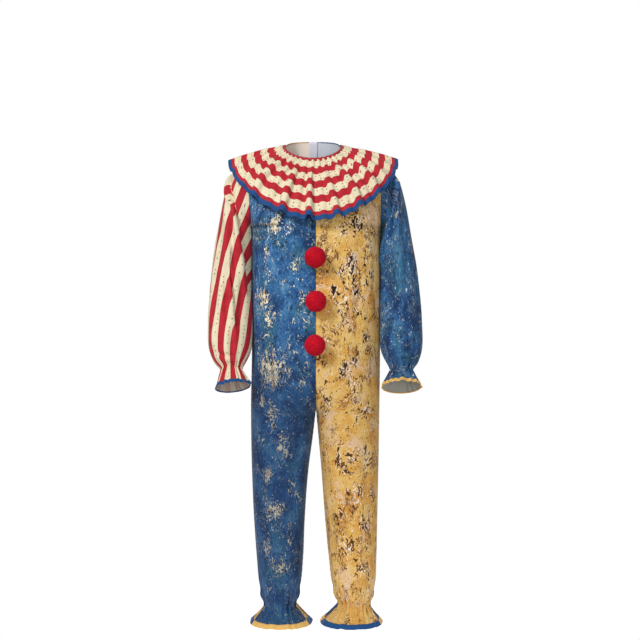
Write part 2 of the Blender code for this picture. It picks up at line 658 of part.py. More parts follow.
def build_zip_slider():
    """The slider's body with the bridge that holds the pull's pin."""
    wide, long, thick = SLIDER_SIZE
    body = prism(rounded(wide, long, 0.0018, -long / 2), thick, 0.0)
    foot, lap = BRIDGE_FOOT, BRIDGE_LAP
    posts = []
    for end in (-1, 1):
        start = end * (BRIDGE_LONG / 2) - foot / 2
        posts.append(prism([(-BRIDGE_WIDE / 2, start), (BRIDGE_WIDE / 2, start),
                            (BRIDGE_WIDE / 2, start + foot), (-BRIDGE_WIDE / 2, start + foot)],
                           BRIDGE_HIGH, thick - BRIDGE_SUNK))
    reach = BRIDGE_LONG / 2 + foot / 2 + lap
    half_wide = BRIDGE_WIDE / 2 + lap
    beam = prism([(-half_wide, -reach), (half_wide, -reach), (half_wide, reach),
                  (-half_wide, reach)], BEAM_THICK, thick - BRIDGE_SUNK + BRIDGE_HIGH - BEAM_SUNK)
    join_solids("zip_slider", [body] + posts + [beam], METAL, 0.35, 1.0, SLIDER_BASE)


def build_zip_pull():
    """The pull tab: a plate with a window, hinged by the pin at its top end, hanging down
    the zip from the bridge."""
    wide, long, thick = PULL_SIZE
    window_wide, window_long = PULL_WINDOW
    pin = PIN_RADIUS
    plate = rounded(wide, long, 0.0012, -pin)
    hole = rounded(window_wide, window_long, 0.0005, pin)
    count = len(plate)
    level = SLIDER_SIZE[2] + PIN_HEIGHT - thick / 2
    points, faces = [], []
    for height in (level, level + thick):
        for outline in (plate, hole):
            points += [(x, t, height) for x, t in outline]
    ring = [0, count, 2 * count, 3 * count]
    for i in range(count):
        k = (i + 1) % count
        faces.append((ring[0] + i, ring[0] + k, ring[1] + k, ring[1] + i))
        faces.append((ring[2] + i, ring[3] + i, ring[3] + k, ring[2] + k))
        faces.append((ring[0] + i, ring[2] + i, ring[2] + k, ring[0] + k))
        faces.append((ring[1] + i, ring[1] + k, ring[3] + k, ring[3] + i))
    place, down, out = zip_frame()
    hinge = bpy.data.objects.new("pull_hinge", None)
    hinge.location = place + out * (SLIDER_BASE + SLIDER_SIZE[2] + PIN_HEIGHT)
    bpy.context.collection.objects.link(hinge)
    bpy.context.view_layer.update()
    add_object("zip_pull", place_in_zip(points, SLIDER_BASE), faces, METAL, 0.35, 1.0, hinge)


# --- the suit -----------------------------------------------------------------------------
def main():
    for old in list(bpy.data.objects):
        bpy.data.objects.remove(old, do_unlink=True)
    build_panels()
    build_ankle_bindings()
    build_ankle_elastics()
    build_sleeves()
    build_collar()
    build_pompoms()
    build_zip_tape()
    build_zip_slider()
    build_zip_pull()


main()
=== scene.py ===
"""The looks of a clown jumpsuit, worn in shape and empty: printed cloth, a gathered collar,
bound frills, pompoms and a back zip, over the frame's solids.

Metres, +Z up, the front towards -Y, the wearer's left towards +X, the origin in the middle
of the shoulder line.

Formulas. A body panel is a grid of points (u, height): u runs from the suit's middle (0) to
the side seam (1). Below the armpit a row is a superellipse, cut off at the middle plane;
above it, rows blend from that section to the neck edge and the shoulder seam; below the
ankle's elastic it widens as a cone to the frill's hem, and the back's frill reaches round to
the front. A sleeve is a row of ellipses. The collar is ruled from the neck edge to a hem that
lies on the shoulders, and crowned. Every surface is then moved along its normals by folds:
gathers, which are sums of cosines that die away from their elastic, and creases, each a soft
trough along a bowed line with a ridge beside it. At a long fold, a sleeve's cloth also moves
round the arm, so that it laps over itself. Solidify gives each piece its cloth's thickness,
with the print outside and the paler reverse inside. UVs are metres on the flat cloth; on the
striped sleeve they are bent so that the stripes hang from the armhole.
"""
import math

import bpy
import numpy as np
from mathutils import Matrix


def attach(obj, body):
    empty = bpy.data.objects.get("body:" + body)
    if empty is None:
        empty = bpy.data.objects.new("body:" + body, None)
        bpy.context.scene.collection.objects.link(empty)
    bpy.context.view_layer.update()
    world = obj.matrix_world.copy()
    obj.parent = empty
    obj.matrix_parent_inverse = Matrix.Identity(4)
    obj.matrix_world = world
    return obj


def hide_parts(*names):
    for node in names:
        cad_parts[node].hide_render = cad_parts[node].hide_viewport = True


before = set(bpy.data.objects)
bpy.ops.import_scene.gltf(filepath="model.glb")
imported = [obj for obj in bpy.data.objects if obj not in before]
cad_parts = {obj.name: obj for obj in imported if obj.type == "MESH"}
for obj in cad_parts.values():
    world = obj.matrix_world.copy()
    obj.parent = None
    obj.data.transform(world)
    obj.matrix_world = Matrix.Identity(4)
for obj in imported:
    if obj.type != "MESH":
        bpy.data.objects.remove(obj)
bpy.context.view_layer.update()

# --- sizes --------------------------------------------------------------------------------
CLOTH = 0.0009           # thickness of the printed polyester
TAPE = 0.0005            # thickness of binding and zip tape
GAP = 0.0003             # between pieces that are sewn together

SHOULDER_Z = -0.037
ARMPIT_Z = -0.235
FORK_Z = -0.620
CROTCH_Z = -0.783
ELASTIC_TOP_Z = -1.352
ELASTIC_LOW_Z = -1.366
HEM_Z = -1.4115
BODY_HALF = 0.192
ARMHOLE_HALF_DEPTH = 0.078
SECTION_POWER = 2.3
LEG_OUTER = {
    -1: [(FORK_Z, 0.192), (CROTCH_Z, 0.1945), (-0.945, 0.192), (-1.125, 0.184),
         (-1.215, 0.177), (-1.305, 0.166), (ELASTIC_TOP_Z, 0.153)],
    1: [(FORK_Z, 0.192), (CROTCH_Z, 0.1895), (-0.945, 0.187), (-1.125, 0.183),
        (-1.215, 0.181), (-1.305, 0.175), (ELASTIC_TOP_Z, 0.160)],
}
LEG_INNER = {
    -1: [(CROTCH_Z, 0.0005), (-0.855, 0.009), (-0.945, 0.021), (-1.125, 0.0345),
         (-1.215, 0.038), (-1.305, 0.047), (ELASTIC_TOP_Z, 0.059)],
    1: [(CROTCH_Z, 0.0005), (-0.855, 0.007), (-0.945, 0.015), (-1.125, 0.029),
        (-1.215, 0.038), (-1.305, 0.050), (ELASTIC_TOP_Z, 0.065)],
}
HEM_OUTER = {-1: 0.197, 1: 0.199}
HEM_INNER = {-1: 0.0120, 1: 0.0130}
HEM_DEPTH = 0.085
FRILL_WRAP = 0.42        # radians that the back's frill reaches round to the front
FRONT_DEPTH = [(ARMPIT_Z, 0.118), (-0.45, 0.120), (FORK_Z, 0.122), (CROTCH_Z, 0.108),
               (-1.04, 0.086), (-1.20, 0.080), (-1.30, 0.067), (ELASTIC_TOP_Z, 0.050)]
BACK_DEPTH = [(ARMPIT_Z, 0.116), (-0.40, 0.114), (FORK_Z, 0.130), (CROTCH_Z, 0.114),
              (-1.04, 0.088), (-1.20, 0.084), (-1.30, 0.069), (ELASTIC_TOP_Z, 0.050)]

NECK_HALF = 0.0815
NECK_DEPTH = 0.066
NECK_SIDE_Z = 0.010
NECK_FRONT_Z = -0.036
NECK_BACK_Z = 0.0355
NECK_SHIFT = -0.009
NECK_SHARE = 3.0 / 8.0   # how much of a panel's width the neck edge takes
COLLAR_HALF = 0.2555
COLLAR_FRONT_Y = 0.158
COLLAR_BACK_Y = 0.160
COLLAR_SIDE_Z = -0.036
COLLAR_FRONT_Z = -0.223
COLLAR_BACK_Z = -0.140
COLLAR_OUT = 0.0022      # from the body's neck edge
COLLAR_TUCK = 0.010      # how far its back edge sits under the body's
COLLAR_TUCK_OUT = 0.0046
COLLAR_SPLIT = (0.0085, 0.015)  # half width of the slit over the zip, at neck and hem
COLLAR_LONG = 0.190      # of the cloth, from neck to hem
COLLAR_CROWN = 0.006
COLLAR_SHOULDER_CROWN = 0.019
COLLAR_GATHER = 0.0060   # height of the gathers at the neck
COLLAR_PLEAT = 0.0022    # and of the pleats they run into
COLLAR_RIDGE = 0.0012    # for each 1 of a hem wave's height
COLLAR_SINK = 0.0045     # how far the cloth between the ridges sinks at the hem
BAND_WIDTH = 0.0095

ZIP_LOW_Z = -0.470
ZIP_SLOT = 0.0046        # half width of the opening over the coil
TAPE_HALF = 0.013
TAPE_DEPTH = 0.0032      # how deep behind the back's surface the tape lies
TEETH_TOP = 0.030        # how far below the tape's top the slider ends and the teeth show
TOOTH_HALF_LONG = 0.0024
TOOTH_HALF_THICK = 0.00062
TOOTH_REACH = 0.0014     # from the zip's middle to a tooth's
COIL_PITCH = 0.0019      # a nylon coil's is 1.4 mm, too fine to show here

# a sleeve's rings, from the armhole down: the outer point's x on the right and on the left
# sleeve, its z, the inner point's x and z, half depth, forward, tilt in degrees
ARM_RINGS = [
    (0.1924, 0.1924, SHOULDER_Z, 0.1924, ARMPIT_Z, 0.078, 0.000, 0),
    (0.2220, 0.2220, -0.052, 0.1936, -0.2405, 0.079, 0.000, 0),
    (0.2450, 0.2450, -0.078, 0.1938, -0.247, 0.079, 0.000, 0),
    (0.2615, 0.2585, -0.106, 0.1940, -0.257, 0.080, 0.000, 0),
    (0.2800, 0.2715, -0.171, 0.1942, -0.286, 0.079, 0.000, 0),
    (0.2940, 0.2820, -0.240, 0.1944, -0.326, 0.078, 0.001, 0),
    (0.3060, 0.2945, -0.315, 0.1946, -0.375, 0.076, 0.003, 2),
    (0.3155, 0.3060, -0.410, 0.1950, -0.440, 0.074, 0.011, 6),
    (0.3200, 0.3140, -0.515, 0.1960, -0.522, 0.073, 0.032, 13),
    (0.3170, 0.3140, -0.588, 0.1985, -0.586, 0.068, 0.050, 17),
]
# the same from the wrist to the cuff's hem, for each side
CUFF_RINGS = {
    -1: [(0.3020, -0.630, 0.2050, -0.626, 0.053, 0.061, 19),
         (0.2800, -0.653, 0.2160, -0.650, 0.036, 0.068, 20),
         (0.2800, -0.662, 0.2160, -0.659, 0.036, 0.071, 20),
         (0.2935, -0.711, 0.1900, -0.698, 0.055, 0.086, 20)],
    1: [(0.3020, -0.630, 0.2060, -0.626, 0.053, 0.061, 20),
        (0.2850, -0.653, 0.2170, -0.650, 0.036, 0.068, 22),
        (0.2850, -0.662, 0.2170, -0.659, 0.036, 0.071, 22),
        (0.3080, -0.704, 0.1910, -0.704, 0.056, 0.088, 24)],
}
WRIST_RING = 11
WRIST_ROWS = slice(142, 156)   # the sleeve's rows from ring 11 to ring 12
WRIST_GATHER = 0.0044    # height of the gathers at the wrist's elastic
CUFF_WAVE = 0.0050       # and of the waves of the cuff's frill
ANKLE_GATHER = 0.0052    # the same at the ankle
ANKLE_WAVE = 0.0026
ANKLE_PUFF = 0.005       # how far the leg's cloth bags out above its elastic
ELASTIC_INSET = 0.0060   # how far inside the gathers an elastic lies
POM_RADIUS = 0.0315
POM_PLACES = {"pompom_top": (-0.0015, -0.331), "pompom_middle": (0.0005, -0.457),
              "pompom_bottom": (-0.0020, -0.582)}
STRANDS = 3600           # in each pompom
STRAND = 0.0042          # how far each cut end stands out of the ball
STRAND_THICK = 0.00075
POM_CLEAR = 0.0010       # from the front's cloth

GIRTH = 0.30             # flat width of one body panel, middle to side seam
SLEEVE_GIRTH = 0.44      # flat width of a sleeve
SLEEVE_PRINT_START = 0.05     # how far down the print's cloth a sleeve is cut
PANEL_COLUMNS = 96
SLEEVE_COLUMNS = 150
COLLAR_COLUMNS = 440

FACING = 0.007           # the neck edge's facing shows the print inside
STRIPE_PITCH = SLEEVE_GIRTH / 9
DOT = 0.0021             # radius of the printed dots
# where each stripe ends, as shares of the way from neck to hem: red first, then cream
COLLAR_RINGS = [0.050, 0.174, 0.290, 0.406, 0.522, 0.637, 0.753, 0.877, 1.0]


# --- curves and normals -------------------------------------------------------------------
def ease(t):
    """0 to 1 with level ends."""
    t = np.clip(t, 0.0, 1.0)
    return t * t * (3.0 - 2.0 * t)


def bump(x, wide):
    """1 at x = 0, falling softly to nothing a few widths away."""
    return np.exp(-(x / wide) ** 2)


def through(points, at):
    """The smooth curve through (x, y) points, at the given x: cubic steps between them."""
    xs, ys = np.array(sorted(points), dtype=float).T
    slopes = np.gradient(ys, xs)
    at = np.clip(np.asarray(at, dtype=float), xs[0], xs[-1])
    i = np.clip(np.searchsorted(xs, at) - 1, 0, len(xs) - 2)
    step = xs[i + 1] - xs[i]
    t = (at - xs[i]) / step
    return ((2 * t**3 - 3 * t**2 + 1) * ys[i] + (t**3 - 2 * t**2 + t) * step * slopes[i]
            + (3 * t**2 - 2 * t**3) * ys[i + 1] + (t**3 - t**2) * step * slopes[i + 1])


def unit(vectors):
    """Vectors brought to length 1."""
    return vectors / np.maximum(np.linalg.norm(vectors, axis=-1, keepdims=True), 1e-12)


def grid_normals(grid, closed=False):
    """Normals of a grid [row, column, xyz]: down the rows crossed with along the columns."""
    down = np.gradient(grid, axis=0)
    if closed:
        along = np.roll(grid, -1, axis=1) - np.roll(grid, 1, axis=1)
    else:
        along = np.gradient(grid, axis=1)
    return unit(np.cross(down, along))


def lean(grid):
    """Moves the upper body sideways so that the neck sits at NECK_SHIFT."""
    moved = grid.copy()
    moved[..., 0] += NECK_SHIFT * ease((grid[..., 2] - ARMPIT_Z) / -ARMPIT_Z)
    return moved


def crease(across, height, start, end, wide, deep, bow=0.0):
    """A soft trough with a ridge beside it, along the bowed line from start to end on the
    cloth, both in metres; it fades at its ends. Negative depth swaps trough and ridge."""
    line = np.subtract(end, start)
    long = math.hypot(*line)
    dx, dz = across - start[0], height - start[1]
    along = (dx * line[0] + dz * line[1]) / long**2
    off = (dx * line[1] - dz * line[0]) / long - 4.0 * bow * along * (1.0 - along)
    fade = ease(along / 0.3) * ease((1.0 - along) / 0.3)
    return deep * fade * (0.6 * bump(off - 1.7 * wide, 1.3 * wide) - bump(off, wide))


def gathers(turns, counts, phases):
    """Gathers round a loop (turns, 0 to 1): neighbouring counts beat, so no two are alike.
    Ridges are round and the valleys between them narrow."""
    wave = sum(np.cos(2 * math.pi * (n * turns + p)) for n, p in zip(counts, phases))
    wave = wave / len(counts)
    return wave + 0.35 * np.abs(wave) - 0.15


# --- meshes -------------------------------------------------------------------------------
def add_mesh(name, points, faces, materials, uv=None, marks=None):
    """An object from points and quads or triangles, smooth, with UVs in metres for each
    point and named values for each point."""
    mesh = bpy.data.meshes.new(name)
    faces = np.asarray(faces, dtype=np.int32)
    count, sides = faces.shape
    mesh.vertices.add(len(points))
    mesh.vertices.foreach_set("co", np.asarray(points, dtype=np.float32).ravel())
    mesh.loops.add(count * sides)
    mesh.loops.foreach_set("vertex_index", faces.ravel())
    mesh.polygons.add(count)
    mesh.polygons.foreach_set("loop_start", np.arange(count, dtype=np.int32) * sides)
    mesh.polygons.foreach_set("use_smooth", np.ones(count, dtype=bool))
    mesh.update(calc_edges=True)
    if uv is not None:
        layer = mesh.uv_layers.new(name="cloth")
        layer.data.foreach_set("uv", np.asarray(uv, dtype=np.float32)[faces.ravel()].ravel())
    for mark, values in (marks or {}).items():
        attribute = mesh.attributes.new(mark, "FLOAT", "POINT")
        attribute.data.foreach_set("value", np.asarray(values, dtype=np.float32).ravel())
    mesh.validate()
    made = bpy.data.objects.new(name, mesh)
    bpy.context.collection.objects.link(made)
    for material in materials:
        mesh.materials.append(material)
    return made


def grid_faces(rows, columns, closed=False, flip=False):
    """Quads of a grid [row, column]; closed joins the last column to the first."""
    i = np.arange(rows - 1)[:, None]
    j = np.arange(columns if closed else columns - 1)[None, :]
    k = (j + 1) % columns
    quads = np.stack([i * columns + j, (i + 1) * columns + j, (i + 1) * columns + k,
                      i * columns + k], axis=-1).reshape(-1, 4)
    return quads[:, ::-1] if flip else quads


def add_sheet(name, grid, materials, uv, marks=None, closed=False, flip=False,
              thickness=CLOTH, offset=-1.0):
    """A cloth piece from a grid [row, column, xyz]. A closed grid repeats its first column
    at its end, so that the UVs run on to the seam, and the two columns are one seam line.
    Offset -1 gives it its thickness inwards and 1 outwards, and a second material is the
    reverse."""
    rows, columns = grid.shape[:2]
    made = add_mesh(name, grid.reshape(-1, 3), grid_faces(rows, columns, flip=flip),
                    materials, uv.reshape(-1, 2), marks)
    if closed:
        weld = made.modifiers.new("seam", "WELD")
        weld.merge_threshold = 0.00002
    wall = made.modifiers.new("wall", "SOLIDIFY")
    wall.thickness = thickness
    wall.offset = offset
    wall.material_offset = len(materials) - 1
    return made


def run(points):
    """How far along a line of points each one is."""
    steps = np.linalg.norm(np.diff(points, axis=0), axis=1)
    return np.concatenate([[0.0], np.cumsum(steps)])


def flat_uv(u, v):
    """UVs of a grid: u is the distance across the cloth and v the distance down it, which a
    UV map counts downwards from 0."""
    return np.stack(np.broadcast_arrays(u, -v[:, None]), axis=-1)


def metres(grid):
    """UVs of a grid from its own distances: along the middle row, and down the middle
    column."""
    rows, columns = grid.shape[:2]
    return flat_uv(run(grid[rows // 2]), run(grid[:, columns // 2]))


# --- colours and shader nodes -------------------------------------------------------------
def colour(code):
    """An sRGB hex code as linear RGBA."""
    parts = np.array([int(code[i:i + 2], 16) for i in (1, 3, 5)]) / 255.0
    linear = np.where(parts <= 0.04045, parts / 12.92, ((parts + 0.055) / 1.055) ** 2.4)
    return (*linear.tolist(), 1.0)


def node(tree, kind, inputs=None, stops=None, **settings):
    """Adds a shader node. An input takes a value or another node's output, and stops are a
    colour ramp's (place, colour) pairs."""
    made = tree.nodes.new("ShaderNode" + kind)
    for key, value in settings.items():
        setattr(made, key, value)
    if stops:
        while len(made.color_ramp.elements) < len(stops):
            made.color_ramp.elements.new(0.5)
        for element, (place, shade) in zip(made.color_ramp.elements, stops):
            element.position = place
            element.color = shade
    for key, value in (inputs or {}).items():
        if isinstance(value, bpy.types.NodeSocket):
            tree.links.new(value, made.inputs[key])
        else:
            made.inputs[key].default_value = value
    return made


def math_node(tree, operation, *values):
    """The output of a Math node."""
    return node(tree, "Math", dict(enumerate(values)), operation=operation).outputs[0]


def step_up(tree, value, low, high):
    """0 below low, 1 above high, smooth between."""
    return node(tree, "MapRange", {"Value": value, "From Min": low, "From Max": high},
                interpolation_type="SMOOTHSTEP").outputs[0]


def mix(tree, factor, under, over):
    """The colour under, covered by the colour over where factor is 1."""
    return node(tree, "Mix", {0: factor, 6: under, 7: over}, data_type="RGBA").outputs[2]


def noise(tree, place, scale, detail=3.0, distortion=0.0, roughness=0.55, stretch=None,
          shift=(0.0, 0.0, 0.0), turn=0.0):
    """A noise's value at a place in metres, scale being features to a metre. stretch slows
    it down along an axis, and turn, in radians, slants it."""
    moved = node(tree, "Mapping", {"Vector": place, "Location": shift,
                                   "Rotation": (0.0, 0.0, turn),
                                   "Scale": stretch or (1.0, 1.0, 1.0)})
    made = node(tree, "TexNoise", {"Vector": moved.outputs[0], "Scale": scale,
                                   "Detail": detail, "Distortion": distortion,
                                   "Roughness": roughness})
    return made.outputs["Fac"]


def new_material(name, roughness, sheen=0.0, metallic=0.0):
    """A material with a Principled shader: (material, node tree, shader)."""
    material = bpy.data.materials.new(name)
    material.use_nodes = True
    tree = material.node_tree
    shader = tree.nodes["Principled BSDF"]
    shader.inputs["Roughness"].default_value = roughness
    shader.inputs["Metallic"].default_value = metallic
    shader.inputs["IOR"].default_value = 1.5
    shader.inputs["Specular IOR Level"].default_value = 0.25
    shader.inputs["Sheen Weight"].default_value = sheen
    shader.inputs["Sheen Roughness"].default_value = 0.4
    return material, tree, shader


def flat_place(tree):
    """The place on the flat cloth, in metres."""
    return node(tree, "UVMap", uv_map="cloth").outputs[0]


def relief(tree, shader, height, strength, distance):
    """A height as bump, distance being its size in metres."""
    made = node(tree, "Bump", {"Height": height, "Strength": strength, "Distance": distance})
    tree.links.new(made.outputs[0], shader.inputs["Normal"])


def weave(tree, shader, place, strength=0.12):
    """A fine uneven weave as bump, about 1.5 mm, coarser than the cloth's 0.3 mm threads,
    which don't show."""
    relief(tree, shader, noise(tree, place, 700.0, 2.0), strength, 0.0006)


# --- print cloths -------------------------------------------------------------------------
class Print:
    """Matte polyester with a print that is built up in layers, each over the colour so far.
    Its patterns are noises on the flat cloth, and seed tells one piece's from another's."""

    def __init__(self, name, seed=(0.0, 0.0, 0.0)):
        self.material, self.tree, self.shader = new_material(name, 0.82, 0.15)
        self.place = flat_place(self.tree)
        self.across, self.down, _ = node(self.tree, "SeparateXYZ", {0: self.place}).outputs
        self.seed = seed
        self.shade = None

    def calc(self, operation, *values):
        return math_node(self.tree, operation, *values)

    def noise(self, scale, detail, distortion=0.0, roughness=0.5, slow=1.0, at=None, turn=0.0):
        """A noise, slowed down along the cloth's length, at a place of its own."""
        x, y = self.seed[:2] if at is None else at
        return noise(self.tree, self.place, scale, detail, distortion, roughness,
                     (1.0, slow, 1.0), (x, y, self.seed[2]), turn)

    def base(self, value, stops):
        """The first layer: colours by a value."""
        stops = [(place, colour(code)) for place, code in stops]
        self.shade = node(self.tree, "ValToRGB", {0: value}, stops=stops).outputs[0]

    def cover(self, mask, over, strength=1.0):
        """Covers the colour so far with another, by strength, where the mask is 1."""
        if strength < 1.0:
            mask = self.calc("MULTIPLY", mask, strength)
        over = colour(over) if isinstance(over, str) else over
        self.shade = mix(self.tree, mask, self.shade, over)

    def flecks(self, over, strength, low, high, *pattern, crowd=None):
        """Covers the colour so far where a noise is high, or where the flecks crowd."""
        value = self.noise(*pattern)
        if crowd is not None:
            value = self.calc("ADD", value, crowd)
        self.cover(step_up(self.tree, value, low, high), over, strength)
        return value

    def veins(self, over, strength, low, high, where, *pattern):
        """Covers the colour so far along the thin lines where a noise is at its middle."""
        line = self.calc("ABSOLUTE", self.calc("SUBTRACT", self.noise(*pattern), 0.5))
        line = self.calc("SUBTRACT", 1.0, step_up(self.tree, line, low, high))
        self.cover(self.calc("MULTIPLY", line, where), over, strength)

    def crowd(self, patch, share):
        """The piece's listed clusters, and how thickly flecks crowd there and in the
        patches."""
        cluster = node(self.tree, "Attribute", attribute_name="cluster").outputs["Fac"]
        return cluster, self.calc("ADD", self.calc("MULTIPLY", cluster, 0.19),
                                  self.calc("MULTIPLY", patch, share))

    def darken(self, over, low, high, strength, everywhere=0.0):
        """Darkens the print towards the ankles, and by a little everywhere."""
        mask = step_up(self.tree, self.calc("MULTIPLY", self.down, -1.0), low, high)
        mask = self.calc("ADD", self.calc("MULTIPLY", mask, strength), everywhere)
        self.cover(mask, over)

    def turn_over(self, pale):
        """The reverse of the print: pale, with the print coming faintly through, and a facing
        of the print itself along the neck edge."""
        printed = self.shade
        self.cover(0.92, pale)
        facing = step_up(self.tree, self.down, -FACING - 0.0004, -FACING)
        self.cover(facing, printed)

    def finish(self):
        self.tree.links.new(self.shade, self.shader.inputs["Base Color"])
        weave(self.tree, self.shader, self.place)
        return self.material


def blue_cloth(name, seed, painted_shade=0.0, reverse=False):
    """Matte polyester with a blue print like worn paint: mottled blues with teal, streaks
    and ragged flecks of cream, white and black. For the sleeve the whole print is darkened
    evenly and its reverse is grey-tan: painted shade."""
    cloth = Print(name, seed)
    tree = cloth.tree
    cloth.base(cloth.noise(16.0, 5.0, 0.6, 0.62, 0.7), [
        (0.28, "#10274b"), (0.42, "#1a3f6d"), (0.50, "#28598d"), (0.60, "#3a71a1"),
        (0.74, "#6e97b8")])
    cloth.flecks("#3a7688", 0.45, 0.52, 0.66, 11.0, 3.0, 0.3, 0.5, 1.0, (3.1, 1.7))
    cloth.flecks("#142c52", 0.55, 0.50, 0.64, 90.0, 4.0, 1.2, 0.6, 0.6, None, 0.5)
    cloth.flecks("#739dbd", 0.55, 0.57, 0.67, 110.0, 3.0, 1.6, 0.5, 0.45, (9.0, 2.0), -0.5)
    patch = cloth.noise(24.0, 2.0, 0.5, 0.5, 0.6, (5.0, 8.0))
    cluster, crowd = cloth.crowd(patch, 0.24)
    cloth.flecks("#0e1c36", 0.85, 0.76, 0.80, 80.0, 3.0, 1.8, 0.55, 0.55, (2.0, 4.0), 0.4,
                 crowd=crowd)
    where = cloth.calc("ADD", patch, cloth.calc("MULTIPLY", cluster, 0.12))
    where = step_up(tree, where, 0.50, 0.60)
    for over, scale, y in (("#a9bfca", 70.0, 5.0), ("#12203f", 95.0, 5.5)):
        cloth.veins(over, 0.75, 0.006, 0.022, where, scale, 2.0, 1.2, 0.5, 0.7, (3.0, y), 0.5)
    tone = mix(tree, step_up(tree, cloth.noise(60.0, 1.0), 0.45, 0.6), colour("#efe6c4"),
               colour("#cdb48b"))
    for edge, scale, turn in ((0.818, 75.0, 0.6), (0.815, 125.0, -0.5)):
        cloth.flecks(tone, 1.0, edge, edge + 0.018, scale, 2.0, 1.6, 0.5, 0.62,
                     (7.0, 3.0 + scale), turn, crowd=crowd)
    cloth.flecks("#dfe6e6", 0.95, 0.73, 0.745, 120.0, 1.0, 0.8, 0.5, 0.7, (1.0, 6.0))
    cloth.flecks("#0c1a33", 0.8, 0.66, 0.69, 110.0, 1.0, 1.0, 0.5, 0.7, (8.0, 1.0))
    # darkened towards the ankles; the even darkening all over, given for the sleeve, is painted
    # shade
    cloth.darken("#12294c", 0.55, 0.80, 0.58, painted_shade)
    if reverse:
        # the sleeve's grey-tan reverse is painted shade; the body's reverse is pale
        cloth.turn_over("#a8a498" if painted_shade else "#d6dae2")
    return cloth.finish()


def yellow_cloth(name, seed, reverse=False):
    """Matte polyester with an ochre print like old plaster: pale, pinkish and orange clouds,
    fine brown cracks and spots, and black blots edged with white."""
    cloth = Print(name, seed)
    tree = cloth.tree
    cloth.base(cloth.noise(18.0, 5.0, 0.5, 0.6, 0.8), [
        (0.28, "#c5853d"), (0.40, "#d79e4a"), (0.50, "#dfb05a"), (0.60, "#e6c075"),
        (0.74, "#e2c795")])
    cloth.flecks("#e4c3a0", 0.8, 0.53, 0.64, 13.0, 4.0, 0.4, 0.6, 1.0, (4.0, 2.2))
    cloth.flecks("#b9803a", 0.55, 0.56, 0.70, 130.0, 4.0, 1.0, 0.6, 0.7)
    cloth.flecks("#f4e2b4", 0.45, 0.58, 0.66, 110.0, 3.0, 1.3, 0.5, 0.6, (9.0, 5.0))
    patch = cloth.noise(26.0, 2.0, 0.5, 0.5, 0.6, (5.0, 1.0))
    _, crowd = cloth.crowd(patch, 0.22)
    where = step_up(tree, patch, 0.48, 0.57)
    for scale, low, high in ((48.0, 0.008, 0.030), (34.0, 0.012, 0.040)):
        cloth.veins("#6a401e", 0.85, low, high, where, scale, 3.0, 1.4, 0.55, 0.6, (6.0, 4.0))
    cloth.flecks("#f8e8d4", 1.0, 0.762, 0.790, 120.0, 2.0, 2.2, 0.5, 0.55, (7.0, 3.0),
                 crowd=crowd)
    blot = cloth.calc("ADD", cloth.noise(84.0, 2.0, 1.8, 0.5, 0.6, (2.0, 4.0)), crowd)
    tone = mix(tree, step_up(tree, blot, 0.765, 0.790), colour("#7a4a22"), colour("#241616"))
    cloth.cover(step_up(tree, blot, 0.738, 0.758), tone)
    cloth.flecks("#7d4a22", 0.85, 0.685, 0.71, 170.0, 1.0, 0.5, 0.5, 0.8, (1.0, 6.0))
    cloth.darken("#8f6428", 0.50, 0.85, 0.20)
    if reverse:
        cloth.turn_over("#fff0e4")
    return cloth.finish()


